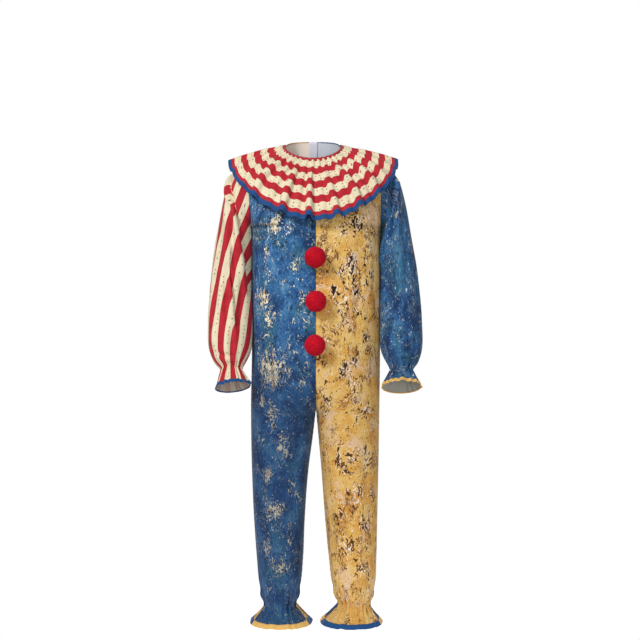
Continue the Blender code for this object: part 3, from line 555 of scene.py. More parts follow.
def striped_cloth(name, rings, reverse=False):
    """Matte polyester in red and cream stripes with small dark and red dots on the cream.
    rings is True on the collar, where the stripes follow the hem, and False on a sleeve,
    where they run down it. The dots lie one to a cell of a grid, jogged, and some cells are
    empty."""
    cloth = Print(name)
    tree, calc = cloth.tree, cloth.calc
    red = colour("#ba2531")
    if rings:
        starts = [0.0] + COLLAR_RINGS[:-1]
        stops = [(start, colour("#ffffff" if k % 2 else "#000000"))
                 for k, start in enumerate(starts)]
        ramp = node(tree, "ValToRGB", {0: calc("DIVIDE", cloth.down, -COLLAR_LONG)}, stops=stops)
        ramp.color_ramp.interpolation = "CONSTANT"
        is_cream = ramp.outputs[0]
        wide, high = 0.0112, 0.0155
        column = calc("DIVIDE", cloth.down, wide)
        row = calc("DIVIDE", cloth.across, high)
    else:
        stripe = calc("DIVIDE", cloth.across, STRIPE_PITCH)
        bend = cloth.noise(9.0, 1.0, roughness=0.55)
        stripe = calc("ADD", stripe, calc("MULTIPLY", bend, 0.10))
        part = calc("FRACT", stripe)
        is_cream = step_up(tree, part, 0.515, 0.525)
        last_edge = calc("SUBTRACT", 1.0, step_up(tree, part, 0.988, 1.0))
        is_cream = calc("MULTIPLY", is_cream, last_edge)
        wide, high = STRIPE_PITCH / 2, 0.0125
        column = calc("MULTIPLY", stripe, 2.0)
        row = calc("DIVIDE", cloth.down, high)
    cell = node(tree, "CombineXYZ", {0: calc("FLOOR", column), 1: calc("FLOOR", row)})
    chance = node(tree, "TexWhiteNoise", {"Vector": cell.outputs[0]},
                  noise_dimensions="2D").outputs
    jog = node(tree, "SeparateXYZ", {0: chance["Color"]}).outputs
    dx = calc("SUBTRACT", calc("FRACT", column), calc("MULTIPLY_ADD", jog[0], 0.3, 0.35))
    dz = calc("SUBTRACT", calc("FRACT", row), calc("MULTIPLY_ADD", jog[1], 0.4, 0.30))
    dx = calc("DIVIDE", dx, DOT / wide)
    dz = calc("DIVIDE", dz, DOT / high)
    far = calc("SQRT", calc("ADD", calc("MULTIPLY", dx, dx), calc("MULTIPLY", dz, dz)))
    dot = calc("SUBTRACT", 1.0, step_up(tree, far, 0.75, 1.0))
    dot = calc("MULTIPLY", dot, calc("GREATER_THAN", chance["Value"], 0.35))
    dot_tone = mix(tree, step_up(tree, jog[2], 0.60, 0.62), colour("#4a2f35"), red)
    mottle = cloth.noise(45.0, 4.0, 0.4, 0.55)
    cream = mix(tree, step_up(tree, mottle, 0.45, 0.7), colour("#e4d8b9"), colour("#ddd0ac"))
    cream = mix(tree, calc("MULTIPLY", dot, 0.85), cream, dot_tone)
    cloth.shade = mix(tree, step_up(tree, mottle, 0.40, 0.7), red, colour("#a81d2b"))
    cloth.cover(is_cream, cream)
    if reverse:
        # the reverse is mostly a plain grey-tan: painted shade
        cloth.cover(0.80, "#aaa396")
    return cloth.finish()


def plain_cloth(name, shade, roughness=0.8, sheen=0.2):
    """A plain dyed tape with slight unevenness."""
    material, tree, shader = new_material(name, roughness, sheen)
    place = flat_place(tree)
    dull = tuple(0.72 * c for c in shade[:3]) + (1.0,)
    cloudy = step_up(tree, noise(tree, place, 70.0, 4.0), 0.35, 0.75)
    tone = mix(tree, math_node(tree, "MULTIPLY", cloudy, 0.25), shade, dull)
    tree.links.new(tone, shader.inputs["Base Color"])
    weave(tree, shader, place, 0.2)
    return material


def ribbed_elastic(name):
    """White woven elastic: ribs along it, 2 mm apart."""
    material, tree, shader = new_material(name, 0.75, 0.2)
    shader.inputs["Base Color"].default_value = colour("#e2e1de")
    place = flat_place(tree)
    ribs = node(tree, "TexWave", {"Vector": place, "Scale": 80.0}, bands_direction="Y")
    relief(tree, shader, ribs.outputs["Fac"], 0.5, 0.0004)
    return material


def yarn(name):
    """Red cut yarn: very matte, glowing a little at its edges, with random patches of a deeper red:
    painted shade, standing for the pile's depths.
    """
    material, tree, shader = new_material(name, 0.95, 0.6)
    shader.inputs["Sheen Tint"].default_value = colour("#ff5060")
    place = node(tree, "TexCoord").outputs["Object"]
    # random patches of a deeper red: painted shade in the pile
    tone = mix(tree, step_up(tree, noise(tree, place, 260.0, 2.0), 0.35, 0.7),
               colour("#e61635"), colour("#bb0f29"))
    tree.links.new(tone, shader.inputs["Base Color"])
    return material


def zip_lacquer(name):
    """Satin white lacquer on die-cast zinc."""
    material, _, shader = new_material(name, 0.3)
    shader.inputs["Base Color"].default_value = colour("#e2e1e8")
    shader.inputs["Coat Weight"].default_value = 0.4
    return material


def tape_cloth(name):
    """White-lavender zip tape: a tight twill with lines along it."""
    material, tree, shader = new_material(name, 0.7, 0.1)
    place = flat_place(tree)
    lines = node(tree, "TexWave", {"Vector": place, "Scale": 110.0, "Distortion": 0.4},
                 bands_direction="X")
    tone = mix(tree, math_node(tree, "MULTIPLY", lines.outputs["Fac"], 0.5),
               colour("#e6e4ee"), colour("#bab7cb"))
    tree.links.new(tone, shader.inputs["Base Color"])
    relief(tree, shader, lines.outputs["Fac"], 0.3, 0.0003)
    return material


# --- body and legs ------------------------------------------------------------------------
def neck_edge(turn):
    """The body's neck edge at an angle from the front: 0 front, pi back, + to the wearer's left."""
    cosine = np.cos(turn)
    tilt = (NECK_BACK_Z - NECK_FRONT_Z) / 2
    dip = NECK_SIDE_Z - (NECK_BACK_Z + NECK_FRONT_Z) / 2
    return np.stack([NECK_HALF * np.sin(turn), -NECK_DEPTH * cosine,
                     NECK_SIDE_Z - tilt * cosine - dip * cosine**2], axis=-1)


def flared(z):
    """How far down the ankle's frill a height is: 0 at the elastic, 1 at the hem."""
    return np.clip((ELASTIC_LOW_Z - z) / (ELASTIC_LOW_Z - HEM_Z), 0.0, 1.0) ** 1.1


def leg_width(side, z):
    """Middle and half width of the section at a height."""
    outer = through(LEG_OUTER[side], z)
    inner = through(LEG_INNER[side], z)
    flare = flared(z)
    outer = outer + (HEM_OUTER[side] - outer) * flare
    inner = inner + (HEM_INNER[side] - inner) * flare
    parted = np.clip((FORK_Z - z) / (FORK_Z - CROTCH_Z), 0.0, 1.0) ** 1.4
    share = np.where(z > CROTCH_Z, parted, (outer + inner) / np.maximum(outer - inner, 1e-6))
    half = np.where(z > CROTCH_Z, outer / (1.0 + share), (outer - inner) / 2)
    return outer - half, half


def depth_at(face, z):
    """Half depth of body and leg: face -1 is the front, +1 the back."""
    depth = through(FRONT_DEPTH if face < 0 else BACK_DEPTH, z)
    flare = flared(z)
    return depth + (HEM_DEPTH - depth) * flare


def lower_rows(side, face, z, u):
    """Rows below the armpit: superellipses cut off at the suit's middle plane."""
    z, u = np.broadcast_arrays(z[:, None], u[None, :])
    middle, half = leg_width(side, z)
    share = np.clip(middle / half, 0.0, 1.0)
    start = np.arccos(-share ** (SECTION_POWER / 2))
    wrap = FRILL_WRAP * flared(z) * -face * np.where((u < 0.5) & (side > 0), 0.1, 1.0)
    angle = start * (1.0 - u) + wrap * (2.0 * u - 1.0)
    power = 2.0 / SECTION_POWER
    cosine, sine = np.cos(angle), np.sin(angle)
    x = middle + half * np.sign(cosine) * np.abs(cosine) ** power
    y = face * depth_at(face, z) * np.sign(sine) * np.abs(sine) ** power
    return np.stack([side * x, y, z], axis=-1)


def upper_rows(side, face, level, u):
    """Rows from the armpit (level 0) up to the neck edge and the shoulder seam (level 1)."""
    base = lower_rows(side, face, np.array([ARMPIT_Z]), u)[0]
    turn = np.clip(u / NECK_SHARE, 0.0, 1.0) * math.pi / 2
    top = neck_edge(turn if face < 0 else math.pi - turn)
    out = np.clip((u - NECK_SHARE) / (1.0 - NECK_SHARE), 0.0, 1.0)
    top[:, 0] += out * (BODY_HALF - NECK_HALF)
    top[:, 2] = np.where(out > 0, NECK_SIDE_Z + (SHOULDER_Z - NECK_SIDE_Z) * out, top[:, 2])
    top[:, 1] = np.where(out > 0, 0.0, top[:, 1])
    across = top[:, 0][None, :]
    level = level[:, None]
    spread = ease(level * 1.6)
    x = np.abs(base[:, 0]) * (1 - spread) + across * spread
    round_off = 1.0 + 0.35 * np.clip(across / NECK_HALF, 0, 1) ** 2
    back_off = (1.0 - level ** 1.8) ** (1.0 / round_off)
    y = top[:, 1] + (base[:, 1] - top[:, 1]) * back_off
    bulge = ARMHOLE_HALF_DEPTH * (x / BODY_HALF) ** 3
    y = y + face * bulge * np.sqrt(np.maximum(0.0, 1.0 - (2 * level - 1) ** 2))
    z = ARMPIT_Z + (top[:, 2] - ARMPIT_Z) * level
    return np.stack(np.broadcast_arrays(side * x, y, z), axis=-1)


# creases on the body: start and end (metres round from the middle of the front, height),
# width, depth and bow, for the right side and the left; 0.30 is the side seam, 0.60 the back
BODY_CREASES = {
    -1: [((0.05, -0.26), (0.07, -0.56), 0.016, 0.0022, 0.010),
         ((0.12, -0.25), (0.13, -0.47), 0.013, 0.0020, -0.008),
         ((0.20, -0.27), (0.21, -0.70), 0.018, 0.0026, 0.012),
         ((0.26, -0.30), (0.24, -0.60), 0.014, 0.0024, 0.0),
         ((0.02, -0.77), (0.12, -0.66), 0.013, 0.0030, 0.010),
         ((0.02, -0.80), (0.16, -0.76), 0.014, 0.0028, 0.012),
         ((0.03, -0.83), (0.13, -0.92), 0.015, 0.0026, -0.010),
         ((0.10, -0.80), (0.11, -1.16), 0.018, 0.0030, 0.008),
         ((0.20, -0.86), (0.19, -1.24), 0.020, 0.0028, -0.012),
         ((0.04, -1.00), (0.13, -1.05), 0.013, 0.0020, 0.006),
         ((0.06, -1.20), (0.20, -1.17), 0.016, 0.0030, -0.010),
         ((0.08, -1.27), (0.22, -1.25), 0.013, 0.0030, 0.008),
         ((0.38, -0.30), (0.37, -0.66), 0.016, 0.0028, 0.010),
         ((0.46, -0.28), (0.45, -0.58), 0.015, 0.0026, -0.008),
         ((0.53, -0.32), (0.51, -0.55), 0.013, 0.0022, 0.006),
         ((0.58, -0.78), (0.46, -0.68), 0.014, 0.0034, 0.010),
         ((0.58, -0.82), (0.44, -0.80), 0.014, 0.0032, 0.010),
         ((0.50, -0.84), (0.49, -1.20), 0.018, 0.0030, 0.010),
         ((0.40, -0.90), (0.41, -1.22), 0.018, 0.0028, -0.010),
         ((0.55, -1.18), (0.42, -1.21), 0.014, 0.0028, 0.008)],
    1: [((0.06, -0.25), (0.05, -0.52), 0.015, 0.0020, -0.008),
        ((0.14, -0.26), (0.12, -0.62), 0.017, 0.0024, 0.010),
        ((0.22, -0.26), (0.20, -0.50), 0.014, 0.0022, 0.008),
        ((0.27, -0.34), (0.25, -0.74), 0.015, 0.0026, -0.010),
        ((0.02, -0.76), (0.13, -0.69), 0.013, 0.0030, 0.010),
        ((0.02, -0.80), (0.15, -0.79), 0.014, 0.0028, 0.010),
        ((0.04, -0.84), (0.12, -0.95), 0.014, 0.0026, -0.008),
        ((0.12, -0.84), (0.13, -1.20), 0.018, 0.0030, -0.010),
        ((0.21, -0.80), (0.22, -1.18), 0.020, 0.0028, 0.012),
        ((0.05, -1.10), (0.15, -1.07), 0.013, 0.0022, 0.006),
        ((0.05, -1.23), (0.19, -1.26), 0.015, 0.0030, 0.010),
        ((0.12, -1.16), (0.24, -1.19), 0.014, 0.0026, 0.006),
        ((0.37, -0.28), (0.38, -0.60), 0.016, 0.0028, -0.010),
        ((0.45, -0.30), (0.46, -0.66), 0.015, 0.0026, 0.008),
        ((0.54, -0.30), (0.52, -0.52), 0.013, 0.0022, -0.006),
        ((0.58, -0.78), (0.47, -0.70), 0.014, 0.0034, 0.010),
        ((0.58, -0.83), (0.45, -0.81), 0.014, 0.0032, 0.008),
        ((0.49, -0.88), (0.50, -1.24), 0.018, 0.0030, -0.010),
        ((0.39, -0.84), (0.40, -1.18), 0.018, 0.0028, 0.010),
        ((0.54, -1.21), (0.41, -1.18), 0.014, 0.0028, -0.008)],
}


def body_folds(side, face, u, z):
    """How far the cloth stands off its section, in metres: the creases, the gathers at the
    ankle's elastic and frill, and the grooves and puckers of the seams."""
    turns = (u if face < 0 else 2.0 - u) / 2.0
    across = turns * 2.0 * GIRTH
    folds = np.zeros_like(z)
    for line in BODY_CREASES[side]:
        folds += crease(across, z, *line)
    small = gathers(turns, (19, 23, 26), (0.1, 0.45, 0.8))
    small = small - 0.9 * np.maximum(-small - 0.25, 0.0)
    reach = 0.020 + 0.075 * (0.5 + 0.5 * np.cos(2 * math.pi * (5 * turns + 0.2 * side))) ** 2
    above = np.exp(-np.maximum(z - ELASTIC_TOP_Z, 0.0) / reach) * (z > ELASTIC_TOP_Z - 0.02)
    below = ease((ELASTIC_LOW_Z + 0.004 - z) / (ELASTIC_LOW_Z - HEM_Z))
    frill = gathers(turns, (9, 11, 14), (0.3, 0.7, 0.15 * side))
    folds += small * ANKLE_GATHER * np.where(z > ELASTIC_LOW_Z, above, 1.0 - 0.80 * below)
    folds += ANKLE_WAVE * frill * below
    puff = np.clip((z - ELASTIC_TOP_Z) / 0.045, 0.0, 1.0)
    folds += ANKLE_PUFF * np.sin(math.pi * puff) ** 2 * (z < ELASTIC_TOP_Z + 0.045)
    for edge in (0.0, 1.0):
        off = (u - edge) * GIRTH
        folds -= 0.0011 * bump(off, 0.0030)
        folds += 0.0005 * bump(off, 0.010) * np.cos(2 * math.pi * z / 0.017)
    folds *= 1.0 - ease((z - ARMPIT_Z + 0.03) / 0.06)
    return folds


def panel(side, face):
    """A body panel from the shoulder to the ankle's hem: (points, u).
    Columns crowd towards the seams."""
    t = np.linspace(0.0, 1.0, PANEL_COLUMNS + 1)
    u = t - 0.45 * np.sin(2 * math.pi * t) / (2 * math.pi)
    u[np.argmin(np.abs(u - NECK_SHARE))] = NECK_SHARE
    level = (1.0 - np.cos(math.pi * np.linspace(1.0, 0.0, 46))) / 2
    z = np.concatenate([np.linspace(ARMPIT_Z, -1.20, 116)[1:],
                        np.linspace(-1.20, -1.345, 38)[1:], np.linspace(-1.345, HEM_Z, 26)[1:]])
    grid = np.concatenate([upper_rows(side, face, level, u), lower_rows(side, face, z, u)])
    normals = -side * face * grid_normals(grid)
    rows_up = len(level)
    heights = grid[:, 0, 2]
    above = heights > ELASTIC_LOW_Z
    normals[(np.arange(len(heights)) >= rows_up) & above, -1, 1] = 0.0
    below = (heights < CROTCH_Z) & above
    normals[above, 0, 0] = 0.0
    normals[below, 0, 1] = 0.0
    normals[below, 0, 0] = -side
    normals = unit(normals)
    wide_u = np.broadcast_to(u, grid.shape[:2])
    grid = grid + normals * body_folds(side, face, wide_u, grid[..., 2])[..., None]
    grid[..., 0] = side * np.maximum(side * grid[..., 0], GAP / 2)
    grid[above, :, 1] = face * np.maximum(face * grid[above, :, 1], GAP / 2)
    if face > 0:
        slot = ZIP_SLOT * ease((grid[..., 2] - ZIP_LOW_Z) / 0.012)
        grid[..., 0] = side * np.maximum(side * grid[..., 0], slot)
    return grid, wide_u


# printed clusters: (x, z) of the middle, half width, half height, and strength, on the
# front panels; similar ones on the backs
CLUSTERS = {
    "front_blue": [
        (-0.118, -0.235, 0.024, 0.036, 1.0), (-0.144, -0.330, 0.008, 0.060, 0.7),
        (-0.060, -0.363, 0.013, 0.020, 0.8), (-0.041, -0.400, 0.011, 0.012, 0.7),
        (-0.151, -0.445, 0.016, 0.028, 0.9), (-0.139, -0.510, 0.010, 0.028, 0.9),
        (-0.036, -0.445, 0.009, 0.014, 0.7), (-0.052, -0.560, 0.012, 0.012, 0.5),
        (-0.129, -0.650, 0.030, 0.050, 1.1), (-0.075, -0.666, 0.010, 0.018, 0.7),
        (-0.040, -0.690, 0.012, 0.014, 0.6), (-0.156, -0.750, 0.008, 0.022, 0.8),
        (-0.129, -0.785, 0.016, 0.040, 1.1), (-0.100, -0.862, 0.013, 0.030, 1.0),
        (-0.152, -0.864, 0.007, 0.018, 0.6), (-0.078, -0.905, 0.020, 0.009, 0.7),
        (-0.140, -0.960, 0.016, 0.022, 0.8), (-0.070, -1.000, 0.012, 0.030, 0.8),
        (-0.120, -1.060, 0.022, 0.024, 0.9), (-0.080, -1.130, 0.012, 0.028, 0.7),
        (-0.142, -1.170, 0.012, 0.030, 0.8), (-0.105, -1.240, 0.022, 0.020, 0.8)],
    "front_yellow": [
        (0.117, -0.230, 0.024, 0.018, 1.0), (0.081, -0.205, 0.012, 0.010, 1.0),
        (0.073, -0.246, 0.009, 0.024, 0.6), (0.184, -0.258, 0.008, 0.012, 0.8),
        (0.106, -0.362, 0.010, 0.048, 1.0), (0.072, -0.366, 0.010, 0.014, 0.6),
        (0.056, -0.423, 0.012, 0.018, 1.1), (0.085, -0.444, 0.014, 0.010, 1.0),
        (0.120, -0.432, 0.012, 0.010, 1.0), (0.138, -0.411, 0.010, 0.012, 0.7),
        (0.177, -0.327, 0.007, 0.009, 0.9), (0.162, -0.375, 0.005, 0.012, 0.9),
        (0.126, -0.490, 0.010, 0.008, 0.8), (0.150, -0.560, 0.012, 0.018, 0.6),
        (0.087, -0.645, 0.012, 0.016, 1.0), (0.075, -0.666, 0.010, 0.010, 0.9),
        (0.108, -0.633, 0.014, 0.016, 0.8), (0.030, -0.690, 0.006, 0.010, 0.9),
        (0.031, -0.741, 0.006, 0.010, 0.9), (0.031, -0.784, 0.006, 0.009, 0.9),
        (0.108, -0.705, 0.010, 0.024, 0.9), (0.150, -0.771, 0.014, 0.014, 1.0),
        (0.120, -0.800, 0.010, 0.010, 0.7), (0.069, -0.876, 0.007, 0.010, 0.9),
        (0.069, -0.915, 0.008, 0.030, 0.9), (0.105, -0.909, 0.012, 0.012, 1.0),
        (0.148, -0.915, 0.009, 0.034, 0.9), (0.090, -0.950, 0.014, 0.012, 1.0),
        (0.120, -1.010, 0.020, 0.024, 0.9), (0.070, -1.060, 0.010, 0.030, 0.8),
        (0.140, -1.100, 0.014, 0.026, 0.9), (0.095, -1.170, 0.016, 0.024, 0.8),
        (0.130, -1.240, 0.018, 0.020, 0.8)],
    "back_yellow": [
        (-0.060, -0.120, 0.020, 0.020, 0.9), (-0.130, -0.160, 0.016, 0.024, 0.9),
        (-0.080, -0.260, 0.014, 0.040, 1.0), (-0.150, -0.330, 0.012, 0.020, 0.8),
        (-0.050, -0.400, 0.014, 0.016, 1.0), (-0.110, -0.440, 0.020, 0.018, 0.9),
        (-0.150, -0.530, 0.010, 0.030, 0.8), (-0.070, -0.580, 0.016, 0.018, 1.0),
        (-0.120, -0.670, 0.014, 0.034, 0.9), (-0.050, -0.720, 0.010, 0.020, 0.8),
        (-0.150, -0.790, 0.014, 0.018, 1.0), (-0.090, -0.870, 0.018, 0.024, 0.9),
        (-0.130, -0.970, 0.012, 0.030, 0.9), (-0.070, -1.050, 0.014, 0.020, 0.8),
        (-0.140, -1.130, 0.016, 0.020, 0.9), (-0.090, -1.220, 0.014, 0.028, 0.8)],
    "back_blue": [
        (0.070, -0.130, 0.022, 0.026, 1.0), (0.140, -0.190, 0.010, 0.040, 0.7),
        (0.060, -0.280, 0.014, 0.024, 0.8), (0.120, -0.350, 0.022, 0.030, 1.0),
        (0.150, -0.460, 0.010, 0.030, 0.8), (0.070, -0.480, 0.014, 0.018, 0.8),
        (0.110, -0.590, 0.024, 0.040, 1.1), (0.050, -0.670, 0.012, 0.016, 0.7),
        (0.150, -0.720, 0.012, 0.030, 0.8), (0.090, -0.800, 0.016, 0.036, 1.0),
        (0.140, -0.900, 0.014, 0.022, 0.8), (0.080, -0.980, 0.014, 0.030, 0.9),
        (0.120, -1.080, 0.022, 0.024, 0.9), (0.080, -1.180, 0.012, 0.028, 0.7),
        (0.140, -1.240, 0.012, 0.022, 0.8)],
}


def clusters(grid, spots):
    """How thickly the print's flecks crowd at each point, from the listed clusters."""
    crowd = np.zeros(grid.shape[:2])
    for x, z, wide, high, strength in spots:
        off = ((grid[..., 0] - x) / wide) ** 2 + ((grid[..., 2] - z) / high) ** 2
        crowd = np.maximum(crowd, strength * np.exp(-off * 0.8))
    return crowd


def hem_tape(name, grid, rows, inner, material, flip, closed=False):
    """Binding folded over a hem: up the outside over the grid's last rows, round the edge
    and up the inside over the last inner ones. Its own puckers follow the stitching."""
    normals = (-1 if flip else 1) * grid_normals(grid, closed)[-rows:]
    edge = grid[-rows:]
    down = unit(edge[-1] - edge[-3])
    clear = GAP / 2
    pucker = 0.00025 * np.cos(np.arange(grid.shape[1]) * 2 * math.pi / 7)[:, None]
    outside = [edge[k] + normals[k] * (clear + pucker * math.sin(math.pi * k / (rows - 1)))
               for k in range(rows)]
    middle = edge[-1] - normals[-1] * CLOTH / 2
    half = CLOTH / 2 + clear
    turn = [middle + normals[-1] * half * math.cos(a) + down * half * (0.6 + math.sin(a))
            for a in np.linspace(0.15 * math.pi, 0.85 * math.pi, 4)]
    inside = [edge[k] - normals[k] * (CLOTH + clear)
              for k in range(rows - 1, rows - 1 - inner, -1)]
    tape = np.array(outside + turn + inside)
    return add_sheet(name, tape, [material], metres(tape), flip=flip, thickness=TAPE,
                     offset=1.0, closed=closed)


def inner_band(name, ring, material):
    """A round of elastic inside a piece's rows [row, column, xyz]: the rows' loop without its
    gathers, drawn in by ELASTIC_INSET."""
    centre = ring.mean(axis=1, keepdims=True)
    spokes = sum(np.roll(ring[:, :-1] - centre, k, axis=1) for k in range(-9, 10)) / 19
    spokes -= unit(spokes) * ELASTIC_INSET
    band = centre + np.concatenate([spokes, spokes[:, :1]], axis=1)
    return add_sheet(name, band, [material], metres(band), thickness=0.0008, offset=0.0,
                     closed=True)


def build_body(looks):
    """The four panels with their ankle bindings and the two ankle elastics."""
    made = {}
    grids = {}
    for (side, face), name in {(-1, -1): "front_blue", (1, -1): "front_yellow",
                               (-1, 1): "back_yellow", (1, 1): "back_blue"}.items():
        grid, u = panel(side, face)
        uv = flat_uv(side * u * GIRTH, run(grid[:, PANEL_COLUMNS // 2]))
        flip = side * face > 0
        crowd = clusters(grid, CLUSTERS[name])
        grid = lean(grid)
        grids[side, face] = grid
        made[name] = add_sheet(name + "_cloth", grid, looks[name], uv, {"cluster": crowd},
                               flip=flip)
        tape_name, tape = {"front_blue": ("ankle_binding_front_yellow", "yellow_tape"),
                           "back_yellow": ("ankle_binding_back_blue", "ankle_blue_tape"),
                           "front_yellow": ("ankle_binding_front_blue", "ankle_blue_tape"),
                           "back_blue": ("ankle_binding_back_yellow", "yellow_tape")}[name]
        made[tape_name] = hem_tape(tape_name + "_tape", grid, 5, 3, looks[tape], flip)
    heights = grids[-1, -1][:, 0, 2]
    rows = np.flatnonzero((heights <= ELASTIC_TOP_Z) & (heights >= ELASTIC_LOW_Z - 0.001))
    for side, name in ((-1, "ankle_elastic_right"), (1, "ankle_elastic_left")):
        ring = np.concatenate([grids[side, -1], grids[side, 1][:, ::-1]], axis=1)
        made[name] = inner_band(name + "_band", ring[rows[0]:rows[-1] + 1], looks["elastic"])
    return made


# --- sleeves ------------------------------------------------------------------------------
# creases on a sleeve: start and end (turn in degrees from the outer line, 90 the front,
# -90 the back, 180 the underarm seam; height), width, depth and bow
SLEEVE_CREASES = {
    -1: [((80, -0.20), (92, -0.56), 0.009, 0.0075, 0.004),
         ((36, -0.08), (119, -0.42), 0.010, 0.0080, -0.006),
         ((52, -0.22), (60, -0.40), 0.011, 0.0030, 0.004),
         ((140, -0.27), (128, -0.58), 0.011, 0.0050, 0.006),
         ((40, -0.30), (44, -0.56), 0.013, 0.0040, -0.006),
         ((68, -0.46), (60, -0.61), 0.010, 0.0040, 0.004),
         ((108, -0.50), (104, -0.63), 0.009, 0.0045, 0.003),
         ((20, -0.22), (14, -0.48), 0.014, 0.0036, 0.004),
         ((30, -0.600), (125, -0.612), 0.007, 0.0040, 0.006),
         ((-125, -0.20), (-115, -0.46), 0.011, 0.0060, 0.006),
         ((-90, -0.26), (-95, -0.55), 0.012, 0.0060, -0.005),
         ((-55, -0.22), (-45, -0.50), 0.012, 0.0045, 0.006),
         ((-140, -0.40), (-130, -0.60), 0.010, 0.0045, 0.004),
         ((-120, -0.605), (-30, -0.595), 0.008, 0.0040, -0.005)],
    1: [((42, -0.06), (130, -0.36), 0.010, 0.0085, -0.006),
        ((95, -0.22), (100, -0.50), 0.010, 0.0050, -0.004),
        ((62, -0.18), (72, -0.42), 0.012, 0.0036, 0.005),
        ((138, -0.30), (130, -0.56), 0.010, 0.0050, 0.004),
        ((36, -0.28), (46, -0.55), 0.013, 0.0038, 0.006),
        ((80, -0.44), (72, -0.60), 0.010, 0.0042, -0.004),
        ((112, -0.50), (108, -0.62), 0.009, 0.0042, 0.003),
        ((40, -0.607), (140, -0.602), 0.007, 0.0048, -0.006),
        ((-120, -0.18), (-114, -0.45), 0.011, 0.0060, -0.006),
        ((-88, -0.28), (-94, -0.56), 0.012, 0.0058, 0.005),
        ((-50, -0.24), (-44, -0.52), 0.012, 0.0045, -0.006),
        ((-135, -0.42), (-128, -0.60), 0.010, 0.0045, 0.004),
        ((-125, -0.600), (-35, -0.600), 0.008, 0.0040, 0.005)],
}


# long folds where a sleeve's cloth laps over itself: (height, turn in degrees) down the fold's
# edge, its height, and -1 for one on the back
SLEEVE_FOLDS = {
    -1: [([(-0.45, 146), (-0.36, 132), (-0.294, 115), (-0.19, 82), (-0.10, 18), (-0.06, 0)],
          0.015, 1),
         ([(-0.56, 118), (-0.507, 107), (-0.42, 97), (-0.39, 90), (-0.29, 84)], 0.011, 1),
         ([(-0.44, 140), (-0.30, 112), (-0.19, 80), (-0.10, 20)], 0.010, -1),
         ([(-0.57, 60), (-0.48, 68), (-0.34, 72)], 0.008, -1)],
    1: [([(-0.38, 165), (-0.317, 153), (-0.25, 128), (-0.189, 96), (-0.08, 30)], 0.016, 1),
        ([(-0.57, 124), (-0.50, 118), (-0.42, 108), (-0.34, 104)], 0.007, 1),
        ([(-0.40, 150), (-0.30, 124), (-0.19, 88), (-0.09, 24)], 0.010, -1),
        ([(-0.57, 64), (-0.46, 74), (-0.36, 70)], 0.008, -1)],
}


def sleeve_folds(side, turn, ring, z):
    """How far a sleeve's cloth stands off its rings, and how far it laps over itself along
    its long folds: creases, folds, the gathers above the wrist's elastic, and the waves of
    the cuff's frill."""
    across = turn / (2 * math.pi) * SLEEVE_GIRTH
    folds, lap = np.zeros_like(across), np.zeros_like(across)
    for (a, top), (b, low), wide, deep, bow in SLEEVE_CREASES[side]:
        folds += crease(across, z, (a / 360 * SLEEVE_GIRTH, top), (b / 360 * SLEEVE_GIRTH, low),
                        wide, deep, bow)
    for path, high, front in SLEEVE_FOLDS[side]:
        off = (front * np.degrees(turn) - through(path, z)) / 360 * SLEEVE_GIRTH
        fade = ease((z - path[0][0]) / 0.06) * ease((path[-1][0] - z) / 0.03)
        folds += high * fade * (0.5 * bump(off + 0.008, 0.008)
                                - ease(off / 0.003) * np.exp(-np.maximum(off, 0.0) / 0.030))
        lap += front * 0.45 * high * fade * bump(off + 0.002, 0.004)
    turns = turn / (2 * math.pi)
    small = gathers(turns, (15, 18, 22), (0.2, 0.55, 0.1 * side))
    near = 1.2 + 1.6 * (0.5 + 0.5 * np.cos(2 * math.pi * (4 * turns + 0.3 * side))) ** 2
    above = np.exp(-np.maximum(WRIST_RING - ring, 0.0) / near * 1.6)
    below = ease((ring - WRIST_RING - 1) / 1.6)
    folds += small * np.where(ring < WRIST_RING + 0.5, WRIST_GATHER * above,
                              WRIST_GATHER - 0.0020 * below)
    frill = gathers(turns, (6, 8, 11), (0.35, 0.1, 0.2 * side))
    folds += CUFF_WAVE * frill * below
    folds -= 0.0016 * bump(ring, 0.12)
    return folds * ease(ring / 1.5), lap * ease(ring / 1.5)


def sleeve(side):
    """A sleeve from the armhole to the cuff's hem: (points, turn). Rings are
    ellipses whose long axis joins the outer and inner points; the forearm tips forward."""
    ring = np.concatenate([np.linspace(0.0, 3.0, 26)[:-1], np.linspace(3.0, 9.0, 92)[:-1],
                           np.linspace(9.0, 12.0, 40)[:-1], np.linspace(12.0, 13.0, 24)])
    rings = [(left if side > 0 else right, *rest) for right, left, *rest in ARM_RINGS]
    columns = np.array(rings + CUFF_RINGS[side]).T
    ox, oz, ix, iz, depth, ahead, tilt = (through(list(enumerate(column)), ring)[:, None]
                                          for column in columns)
    turn = math.pi * np.linspace(-1.0, 1.0, SLEEVE_COLUMNS + 1)[None, :]
    tip = np.radians(tilt)
    cosine, sine = np.cos(turn), np.sin(turn)
    grid = np.stack([side * ((ox + ix) / 2 + (ox - ix) / 2 * cosine),
                     -ahead - depth * np.cos(tip) * sine,
                     (oz + iz) / 2 + (oz - iz) / 2 * cosine + depth * np.sin(tip) * sine],
                    axis=-1)
    normals = -side * seam_normals(grid)
    normals[0, :, 0] = 0.0
    turn = np.broadcast_to(turn, grid.shape[:2])
    ring = np.broadcast_to(ring[:, None], grid.shape[:2])
    folds, lap = sleeve_folds(side, turn, ring, grid[..., 2])
    along = unit(np.gradient(grid, axis=1))
    grid = grid + unit(normals) * folds[..., None] + along * lap[..., None]
    grid[..., 0] -= side * (0.009 * ease((ring - 1) / 2) * ease((10.5 - ring) / 1.5)
                            * ease((np.abs(turn) - 1.6) / 1.5))
    grid[..., 0] = side * np.maximum(side * grid[..., 0], beside_body(grid))
    return grid, turn


